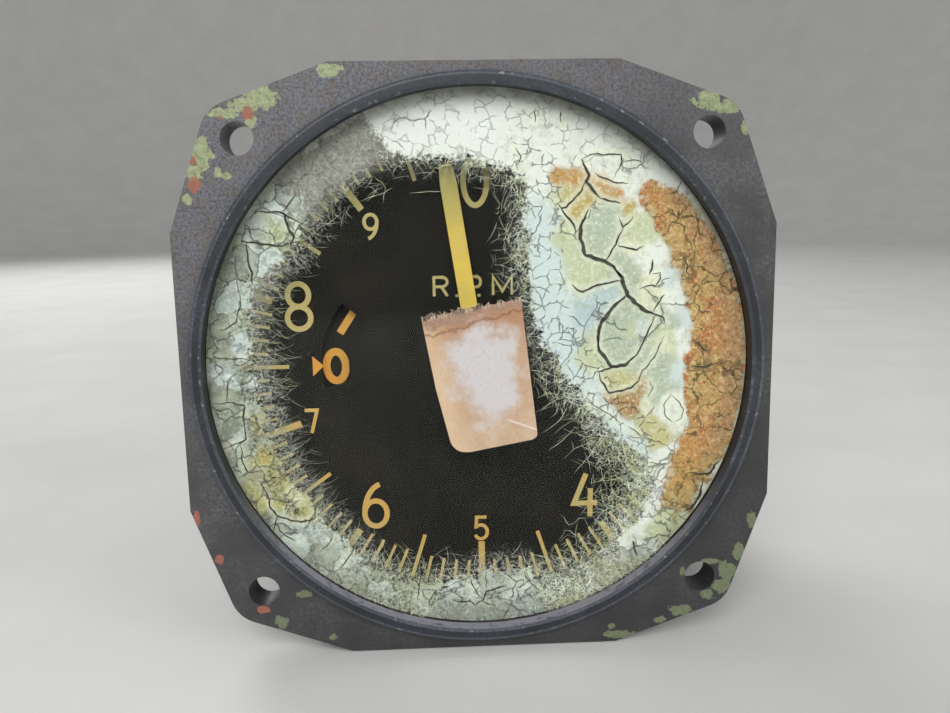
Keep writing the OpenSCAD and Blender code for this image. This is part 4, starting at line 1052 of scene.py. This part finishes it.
def needle_tree():
    """Thin curled slivers scattered over a surface, as thickly as its needles attribute says."""
    inputs = {"Geometry": "Geometry", "Density": "Float", "Shortest": "Float", "Longest": "Float"}
    inputs.update({"Width": "Float", "Curl": "Float", "Seed": "Int", "Finish": "Material"})
    tree, given = new_group("crystal_needles", "GeometryNodeTree", inputs, {"Geometry": "Geometry"})

    def stored(name):
        source = {"Name": name}
        return add(tree, "GeometryNodeInputNamedAttribute", source, data_type="FLOAT").outputs[0]

    def between(low, high, seed):
        return add(tree, "FunctionNodeRandomValue", {2: low, 3: high, "Seed": seed}).outputs[1]

    thickness = times(stored("needles"), given["Density"])
    scatter = {"Mesh": given["Geometry"], "Density": thickness, "Seed": given["Seed"]}
    points = link("GeometryNodeDistributePointsOnFaces", scatter)[0]
    grid = {"Size X": 1.0, "Size Y": 1.0, "Vertices X": 6, "Vertices Y": 2}
    strip = add(tree, "GeometryNodeMeshGrid", grid).outputs[0]
    along, sideways = parts_of(add(tree, "GeometryNodeInputPosition").outputs[0])[:2]
    angle = times(along, given["Curl"])
    taper = minus(1.0, reckon("ABSOLUTE", times(along, 1.5)))
    half = times(times(sideways, given["Width"]), taper)
    radius = reckon("DIVIDE", 1.0 * MM, given["Curl"])
    out = plus(radius, half)
    east = times(out, reckon("SINE", angle))
    north = minus(times(out, reckon("COSINE", angle)), radius)
    shaped = link("ShaderNodeCombineXYZ", {"X": east, "Z": north})[0]
    sliver = link("GeometryNodeSetPosition", {"Geometry": strip, "Position": shaped})[0]
    turn = plus(stored("lay"), times(stored("spread"), between(-1.0, 1.0, 3)))
    rotation = link("ShaderNodeCombineXYZ", {"Y": turn, "Z": between(-0.03, 0.03, 5)})[0]
    long = reckon("DIVIDE", between(given["Shortest"], given["Longest"], 8), 1.0 * MM)
    size = link("ShaderNodeCombineXYZ", {"X": long, "Y": 1.0, "Z": between(0.7, 1.5, 12)})[0]
    spikes = {"Points": points, "Instance": sliver, "Rotation": rotation, "Scale": size}
    whole = link("GeometryNodeInstanceOnPoints", spikes)[0]
    whole = link("GeometryNodeRealizeInstances", {0: whole})[0]
    whole = link("GeometryNodeSetMaterial", {"Geometry": whole, "Material": given["Finish"]})[0]
    add(tree, "NodeGroupOutput", {"Geometry": whole})
    return tree


def needle_finish():
    finish, shader, place = new_finish("crystal_needles", roughness=0.4)
    pale = fade(grain(place, 3 * MM, 4), 0.35, 0.65)
    feed(shader, "Base Color", tint(pale, (236, 240, 224), (208, 212, 172)))
    see_through = fade(grain(place, 0.8 * MM, 3), 0.3, 0.7, 0.45, 1.0)
    thinner_left = fade(parts_of(place)[0], -22 * MM, -8 * MM, 0.55, 1.0)
    feed(shader, "Alpha", times(see_through, thinner_left))
    return finish


NEEDLE_LIFT = 0.05 * MM
STRAND_WIDTH = 0.065
STRAND_WAVER = 0.15
crystal = needle_finish()
bed = film.data.copy()
bed.materials.clear()
outside_clear = -depth_inside(across, clear_outline)
bare = np.clip((0.9 - film_depth) / 1.4, 0, 1) * (1 - 0.8 * haze_share)
low_left = np.clip((-24 - across[:, 1]) / 3, 0, 1) * np.clip((-6 - across[:, 0]) / 4, 0, 1)
net = low_left * np.clip((reach_of - 31.5) / 2.5, 0, 1)
set_values(bed, "needles", np.maximum(np.clip(outside_clear / 6, 0, 1) ** 1.3 * bare, 0.5 * net))
set_values(bed, "lay", -np.arctan2(across[:, 1], across[:, 0]))
set_values(bed, "spread", math.pi * (1 - 0.75 * left_side * (1 - net)))
far_bed = bed.copy()
far_reach = np.clip((outside_clear + 2) / 4, 0, 1) * bare
far_bed.attributes["needles"].data.foreach_set("value", far_reach)
crystal_needles = needle_tree()
needle_kinds = {
    "needles": (bed, 14 / MM ** 2, 0.5 * MM, 1.9 * MM, 0.06 * MM, 2.6, 4),
    "long_needles": (far_bed, 1.5 / MM ** 2, 1.3 * MM, 3.6 * MM, 0.045 * MM, 1.3, 9),
}
for name, (ground, density, shortest, longest, width, curl, seed) in needle_kinds.items():
    values = {"Density": density, "Shortest": shortest, "Longest": longest, "Width": width}
    values.update({"Curl": curl, "Seed": seed, "Finish": crystal})
    needles = grow(name, crystal_needles, values, ground)
    needles.data.transform(Matrix.Translation((0, -NEEDLE_LIFT, 0)))
    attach(needles, "housing")
strand_form = bmesh.new()
for path in strands:
    ribbon(strand_form, path, STRAND_WIDTH, FILM_REAR, STRAND_WAVER)
face_front(strand_form)
strand_piece = new_piece("strands", strand_form, crystal)
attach(strand_piece, "housing")

# Bezel ring: a turned metal ring pressed into the front of the case over the window. Its black paint
# is tinted blue as a painted sheen and has rubbed off along the edges, which are also painted lighter
# as painted highlights.
# Painted sheen: the black paint and its dust are tinted blue.
BEZEL_BLACK = (32, 35, 41)
BEZEL_DUST = (66, 72, 81)
bezel_low, bezel_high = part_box("bezel_ring")
BEZEL_INNER = 37.8
BEZEL_OUTER = bezel_high.x / MM
BEZEL_FRONT = bezel_low.y / MM
BEZEL_SKIRT = bezel_high.y / MM
SKIRT_OUTER = 38.44
INNER_CUT = 0.35
OUTER_ROUND = 0.6
BEZEL_SPOKES = 240


def lathe(form, profile, spokes, material_of=None, axis=0.0, cut=None):
    """Turns a closed profile of radius and depth, in mm, about an axis at this height.

    A cut gives the radius that is left at a radius, a depth and a share of the turn.
    """
    rows = []
    for spoke in range(spokes):
        angle = 2 * math.pi * spoke / spokes
        row = []
        for radius, y in profile:
            r = (cut(radius, y, spoke / spokes) if cut else radius) * MM
            row.append(form.verts.new((r * math.cos(angle), y * MM, axis * MM + r * math.sin(angle))))
        rows.append(row)
    for first, second in zip(rows, rows[1:] + rows[:1]):
        for k in range(len(profile)):
            follow = (k + 1) % len(profile)
            face = form.faces.new((first[k], second[k], second[follow], first[follow]))
            face.material_index = material_of[k] if material_of else 0
    bmesh.ops.recalc_face_normals(form, faces=form.faces)


inner_cut = [(BEZEL_INNER + INNER_CUT * s, BEZEL_FRONT + INNER_CUT * (1 - s)) for s in (0, 0.5, 1)]
round_centre = (BEZEL_OUTER - OUTER_ROUND, -BEZEL_FRONT - OUTER_ROUND)
round_points = bend(round_centre, (OUTER_ROUND, OUTER_ROUND), 90, 0, 8)
outer_round = [(r, -up) for r, up in round_points]
skirt = [(BEZEL_OUTER, 0), (SKIRT_OUTER, 0), (SKIRT_OUTER, BEZEL_SKIRT), (BEZEL_INNER, BEZEL_SKIRT)]
bezel_profile = inner_cut + outer_round + skirt
worn_faces = [1 if k < 2 or 3 <= k < 10 else 0 for k in range(len(bezel_profile))]
worn_faces[-1] = 2
bezel_form = bmesh.new()
lathe(bezel_form, bezel_profile, BEZEL_SPOKES, worn_faces)
bezel_paint = painted("bezel_paint", BEZEL_BLACK, BEZEL_DUST, (140, 144, 150), 0.02)[0]
# Painted highlight and wear: the edges are painted lighter than the face, and rubbed to metal.
bezel_edge_worn_and_lit = painted("bezel_edge_worn_and_lit", (62, 67, 75), (100, 106, 114), (160, 164, 170), 0.12)[0]
# Painted shade: the inner wall's paint is a little darker and less dusty than the face.
inside_coat = ("bezel_inside", (30, 32, 36), (52, 55, 61), (90, 94, 98), 0.0)
bezel_inside, shader, place, coat = painted(*inside_coat)
# Painted light: the inner wall turns a light lilac grey towards the bottom, where it faces up to the
# lamps.
dust_and_light = fade(parts_of(place)[2], -12 * MM, -30 * MM)
dust_and_light = times(dust_and_light, fade(grain(place, 1.2 * MM), 0.2, 0.5))
feed(shader, "Base Color", tint(dust_and_light, coat, (140, 138, 148)))
bezel = new_piece("bezel", bezel_form, bezel_paint, bezel_edge_worn_and_lit, bezel_inside)
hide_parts("bezel_ring")
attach(bezel, "housing")

# Paper tag: a scrap of stiff tan paper, torn across the top and stuck to the front of the window. Its
# middle has been rubbed white, its torn edge is fluffy and its lower right corner is creased.
TAG_TOP = 14.6
TAG_BOTTOM = 12.1
TAG_TALL = 19.4
TAG_MIDDLE = (0.4, -1.8)
TAG_LEAN = math.radians(10)
TAG_LEFT_ROUND = 2.2
TAG_RIGHT_ROUND = 0.8
TAG_LEFT_TORN = 0.6
TAG_STEPS = (60, 80)
CREASE_SLOPE = 0.36
CREASE_START = 0.428
FIBRE_COUNT = 110
FIBRE_WIDTH = 0.1
tag_front, tag_back = (corner.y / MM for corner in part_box("paper_tag"))


def tag_place(across, up):
    """Place on the tag, from shares of -1 to 1 of its width and height, before it leans, in mm."""
    half = TAG_TALL / 2
    z = up * half
    right = (TAG_BOTTOM + (TAG_TOP - TAG_BOTTOM) * (up + 1) / 2) / 2
    left = TAG_LEFT_TORN * max(0.0, up) - right
    for sign, corner in ((-1, TAG_LEFT_ROUND), (1, TAG_RIGHT_ROUND)):
        low = z + half
        if low < corner:
            cut = corner - math.sqrt(max(0.0, corner ** 2 - (corner - low) ** 2))
            left, right = (left + cut, right) if sign < 0 else (left, right - cut)
    x = left + (right - left) * (across + 1) / 2
    torn = max(0.0, (up - 0.9) / 0.1)
    x += torn * 0.12 * ripple.noise(Vector((x, 3.0, 0)) / 0.4)
    z += torn * (0.22 * ripple.noise(Vector((x, 0, 0)) / 0.35) + 0.5)
    return x, z


def leaned(x, z):
    """A place on the tag, turned with it and set on the window, in mm."""
    cos, sin = math.cos(TAG_LEAN), math.sin(TAG_LEAN)
    return TAG_MIDDLE[0] + x * cos - z * sin, TAG_MIDDLE[1] + x * sin + z * cos


def tag_finish():
    finish, shader, place = new_finish("tag_paper", roughness=0.85)
    flat = add(finish.node_tree, "ShaderNodeUVMap", uv_map="sheet").outputs[0]
    sideways, upward = parts_of(flat)[:2]
    fibres = grain(place, 0.35 * MM, 5, 0.7)
    blots = grain(place, 3.5 * MM, 5, 0.6)
    shape = {"Vector": flat, "Location": (-1.235, -1.404, 0), "Scale": (2.3, 2.6, 1)}
    reach = length_of(link("ShaderNodeMapping", shape)[0])
    ragged = plus(reach, fade(blots, 0.2, 0.8, -0.35, 0.35))
    torn = plus(upward, fade(blots, 0.2, 0.8, -0.05, 0.05))
    torn = plus(torn, fade(sideways, 0.0, 1.0, 0.02, -0.03))
    fluff = tint(fibres, (206, 172, 146), (120, 92, 78))
    seam = reckon("ABSOLUTE", minus(torn, 0.91))
    fold = plus(upward, times(sideways, CREASE_SLOPE))
    off_fold = reckon("ABSOLUTE", minus(fold, CREASE_START))
    fold = times(fade(off_fold, 0.012, 0.004), fade(sideways, 0.66, 0.74, 0, 0.7))
    colour = layered(
        (214, 188, 158),
        (fade(blots, 0.35, 0.65), (202, 170, 140)),
        (fade(upward, 0.55, 0.95), (184, 140, 108)),
        (fade(sideways, 0.32, 0.0, 0, 0.6), (232, 204, 166)),
        (fade(ragged, 1.15, 0.55), (214, 210, 210)),
        (fade(fibres, 0.52, 0.75, 0, 0.4), (160, 122, 98)),
        (fade(torn, 0.93, 0.975), fluff),
        (fade(seam, 0.016, 0.004, 0, 0.55), (122, 86, 66)),
        (fold, (240, 230, 220)))
    feed(shader, "Base Color", colour)
    raise_by(shader, fibres, 0.05 * MM)
    return finish


tag_form = bmesh.new()
sheet = tag_form.loops.layers.uv.new("sheet")
tag_sides = []
for level in (tag_front, tag_back):
    side = []
    for row in range(TAG_STEPS[1] + 1):
        line = []
        for column in range(TAG_STEPS[0] + 1):
            across_share, up_share = 2 * column / TAG_STEPS[0] - 1, 2 * row / TAG_STEPS[1] - 1
            x, z = tag_place(across_share, up_share)
            along_fold = (up_share + 1) / 2 + CREASE_SLOPE * (across_share + 1) / 2
            crease = abs(along_fold - CREASE_START) * TAG_TALL
            lift = 0.07 * math.exp(-(crease / 0.25) ** 2) if across_share > 0.35 else 0.0
            lift += 0.06 * ripple.noise(Vector((x, z, 0)) / 3.0)
            depth = tag_back if level == tag_back else tag_front + max(0.0, 0.07 - lift)
            turned_x, turned_z = leaned(x, z)
            line.append(tag_form.verts.new((turned_x * MM, depth * MM, turned_z * MM)))
        side.append(line)
    tag_sides.append(side)
share_of = {}
for side in tag_sides:
    for row, line in enumerate(side):
        for column, vertex in enumerate(line):
            share_of[vertex] = (column / TAG_STEPS[0], row / TAG_STEPS[1])
for side in tag_sides:
    for low, high in zip(side, side[1:]):
        for k in range(TAG_STEPS[0]):
            tag_form.faces.new((low[k], low[k + 1], high[k + 1], high[k]))
rims = []
for side in tag_sides:
    rims.append([side[0], side[-1], [line[0] for line in side], [line[-1] for line in side]])
for front_rim, back_rim in zip(*rims):
    for k in range(len(front_rim) - 1):
        tag_form.faces.new((front_rim[k], front_rim[k + 1], back_rim[k + 1], back_rim[k]))
for face in tag_form.faces:
    for corner in face.loops:
        corner[sheet].uv = share_of[corner.vert]
bmesh.ops.recalc_face_normals(tag_form, faces=tag_form.faces)
tag = new_piece("tag", tag_form, tag_finish(), smooth_below=50)
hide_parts("paper_tag")
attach(tag, "housing")
fibre_form = bmesh.new()
chance = random.Random(7)
for k in range(FIBRE_COUNT):
    x, z = tag_place(chance.uniform(-1, 0.2) if k % 3 else chance.uniform(-1, 1), 1.0)
    root = Vector(leaned(x, z))
    tip = root + Vector((chance.uniform(-0.5, 0.4), chance.uniform(0.1, 0.6)))
    ribbon(fibre_form, [root - Vector((0, 0.5)), root, tip], FIBRE_WIDTH, tag_front + 0.01, 0.15)
face_front(fibre_form)
tag_fibre = matt("tag_fibre", (228, 208, 186), (190, 160, 136), 0.5 * MM, 0.9)
fibres = new_piece("tag_fibres", fibre_form, tag_fibre)
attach(fibres, "housing")

# Rear cover: a cast alloy lid with a rounded edge and a boss for the drive, painted like the case and
# held by four screws. Its paint is worn at the edge and about the boss.
cover_coat = painted("cover_paint", PAINT_BLACK, PAINT_DUST, BARE_ALLOY, 0.03)[0]
cover_edge = painted("cover_edge", PAINT_BLACK, PAINT_DUST, BARE_ALLOY, 0.17)[0]
cover = worn_copy("rear_cover", 0.15 * MM, cover_coat, cover_edge)
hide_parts("rear_cover")
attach(cover, "housing")

# Drive nipple and its nut: turned steel, cut with a thread of 18 turns to the inch for the nut of a
# flexible drive. The nipple's flange bears on the boss and the nut inside draws it up.
NIPPLE_AXIS = -13.125
NIPPLE_FLANGE = 13.2
NIPPLE_THREAD = 11.1
THREAD_PITCH = 25.4 / 18
THREAD_DEPTH = 0.8
THREAD_SPOKES = 64
STEPS_PER_TURN = 10
nipple_low, nipple_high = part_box("drive_nipple")
NIPPLE_BACK = nipple_high.y / MM
NIPPLE_INSIDE = nipple_low.y / MM
NIPPLE_FRONT = 53.2
FLANGE_FRONT = 51.0
SHANK = 9.0
BORE = 6.0
MOUTH = 8.0
MOUTH_DEPTH = 6.5
RELIEF = 10.2
thread_start = NIPPLE_FRONT + 1.2
thread_end = NIPPLE_BACK - 0.7
thread_run = thread_end - thread_start
thread_steps = round(thread_run / THREAD_PITCH * STEPS_PER_TURN)
thread_rows = [thread_start + thread_run * k / thread_steps for k in range(thread_steps + 1)]
nipple_profile = [
    (BORE, NIPPLE_INSIDE), (SHANK - 0.4, NIPPLE_INSIDE), (SHANK, NIPPLE_INSIDE + 0.4),
    (SHANK, FLANGE_FRONT), (NIPPLE_FLANGE - 0.3, FLANGE_FRONT), (NIPPLE_FLANGE, FLANGE_FRONT + 0.3),
    (NIPPLE_FLANGE, NIPPLE_FRONT - 0.4), (NIPPLE_FLANGE - 0.4, NIPPLE_FRONT), (RELIEF, NIPPLE_FRONT),
    (RELIEF, NIPPLE_FRONT + 0.8)]
nipple_profile += [(NIPPLE_THREAD, y) for y in thread_rows]
nipple_profile += [
    (RELIEF - 0.2, NIPPLE_BACK), (MOUTH + 0.4, NIPPLE_BACK), (MOUTH, NIPPLE_BACK - 0.4),
    (MOUTH, NIPPLE_BACK - MOUTH_DEPTH), (BORE, NIPPLE_BACK - MOUTH_DEPTH)]


def thread_cut(radius, y, turn):
    """The radius that the thread leaves; the thread runs out to its relief at both ends."""
    if radius != NIPPLE_THREAD:
        return radius
    turns = (y - thread_start) / THREAD_PITCH - turn
    valley = abs(2 * (turns % 1) - 1)
    radius -= THREAD_DEPTH * min(1.0, max(0.0, valley * 1.3 - 0.15))
    return min(radius, RELIEF + 1.2 * (y - thread_start), RELIEF + 1.2 * (thread_end - y))


nipple_form = bmesh.new()
lathe(nipple_form, nipple_profile, THREAD_SPOKES, axis=NIPPLE_AXIS, cut=thread_cut)
nipple_steel = turned("nipple_steel", (128, 126, 122), (92, 82, 70), 0.36, 0.006 * MM)
nipple = new_piece("nipple", nipple_form, nipple_steel)
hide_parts("drive_nipple")
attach(nipple, "housing")
dress("nipple_nut", nipple_steel)

# Stage: a plain pale floor that curves up all round, on which the instrument rests by its flange and
# its rear cover, so that it leans back a little; soft lamps; and the camera, close in front and above.
FLOOR_PALE = (226, 225, 222)
FLOOR_GREY = (220, 219, 216)
FLANGE_THICK = 5 * MM
COVER_EDGE = 4.2 * MM
flange_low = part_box("case")[0].z
cover_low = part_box("rear_cover")[0].z
cover_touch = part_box("rear_cover")[1].y - COVER_EDGE
lean_back = math.atan2(cover_low - flange_low, cover_touch - FLANGE_THICK)
floor_form = bmesh.new()
FLOOR_FLAT = 1.2
FLOOR_BEND = 0.5
FLOOR_SPOKES = 72
sweep = bend((FLOOR_FLAT, FLOOR_BEND), (FLOOR_BEND, FLOOR_BEND), -90, 0, 12)
flat_steps = [(FLOOR_FLAT * k / 4, 0.0) for k in range(1, 4)]
floor_profile = flat_steps + sweep + [(FLOOR_FLAT + FLOOR_BEND, 1.0)]
floor_middle = floor_form.verts.new((0, 0, 0))
floor_rows = []
for spoke in range(FLOOR_SPOKES):
    angle = 2 * math.pi * spoke / FLOOR_SPOKES
    row = [(r * math.cos(angle), r * math.sin(angle), z) for r, z in floor_profile]
    floor_rows.append([floor_form.verts.new(place) for place in row])
for first, second in zip(floor_rows, floor_rows[1:] + floor_rows[:1]):
    floor_form.faces.new((floor_middle, first[0], second[0]))
    for k in range(len(floor_profile) - 1):
        floor_form.faces.new((first[k], first[k + 1], second[k + 1], second[k]))
floor_paint = matt("floor", FLOOR_PALE, FLOOR_GREY, 40 * MM, 0.9, 0.001 * MM)
floor = new_piece("floor", floor_form, floor_paint)
lean = Matrix.Translation((0, FLANGE_THICK, flange_low)) @ Matrix.Rotation(lean_back, 4, "X")
floor.data.transform(lean)


def lamp(name, place, size, power):
    light = bpy.data.lights.new(name, "AREA")
    light.shape = "DISK"
    light.size = size
    light.energy = power
    holder = bpy.data.objects.new(name, light)
    holder.location = place
    holder.rotation_euler = (-Vector(place)).to_track_quat("-Z", "Y").to_euler()
    bpy.context.scene.collection.objects.link(holder)


lamp("key_lamp", (-0.15, -0.72, 0.52), 0.6, 4.5)
lamp("fill_lamp", (0.6, -0.5, 0.3), 0.5, 1.6)
lamp("back_lamp", (-0.4, 0.7, 0.6), 0.6, 4.0)
world = bpy.data.worlds.new("studio")
world.use_nodes = True
world.node_tree.nodes["Background"].inputs["Color"].default_value = screen_colour(235, 236, 238)
world.node_tree.nodes["Background"].inputs["Strength"].default_value = 0.35
bpy.context.scene.world = world

IMAGE_WIDTH = 950
FOCAL_PIXELS = 790
CAMERA_PLACE = (-4.765 * MM, -107.868 * MM, 17.762 * MM)
LOOK_TURN = math.radians(-2.169)
LOOK_DOWN = math.radians(8.443)
LOOK_ROLL = math.radians(-1.112)
view = bpy.data.cameras.new("view")
view.sensor_fit = "HORIZONTAL"
view.lens = view.sensor_width * FOCAL_PIXELS / IMAGE_WIDTH
view.clip_start = 0.005
flat_share = math.cos(LOOK_DOWN)
ahead = Vector((
    -math.sin(LOOK_TURN) * flat_share, math.cos(LOOK_TURN) * flat_share, -math.sin(LOOK_DOWN)))
level = ahead.cross(Vector((0, 0, 1))).normalized()
upright = level.cross(ahead)
right = math.cos(LOOK_ROLL) * level + math.sin(LOOK_ROLL) * upright
up = math.cos(LOOK_ROLL) * upright - math.sin(LOOK_ROLL) * level
camera = bpy.data.objects.new("view", view)
look = Matrix((right, up, -ahead)).transposed().to_4x4()
camera.matrix_world = Matrix.Translation(CAMERA_PLACE) @ look
bpy.context.scene.collection.objects.link(camera)
bpy.context.scene.camera = camera
bpy.context.scene.view_settings.view_transform = "Standard"
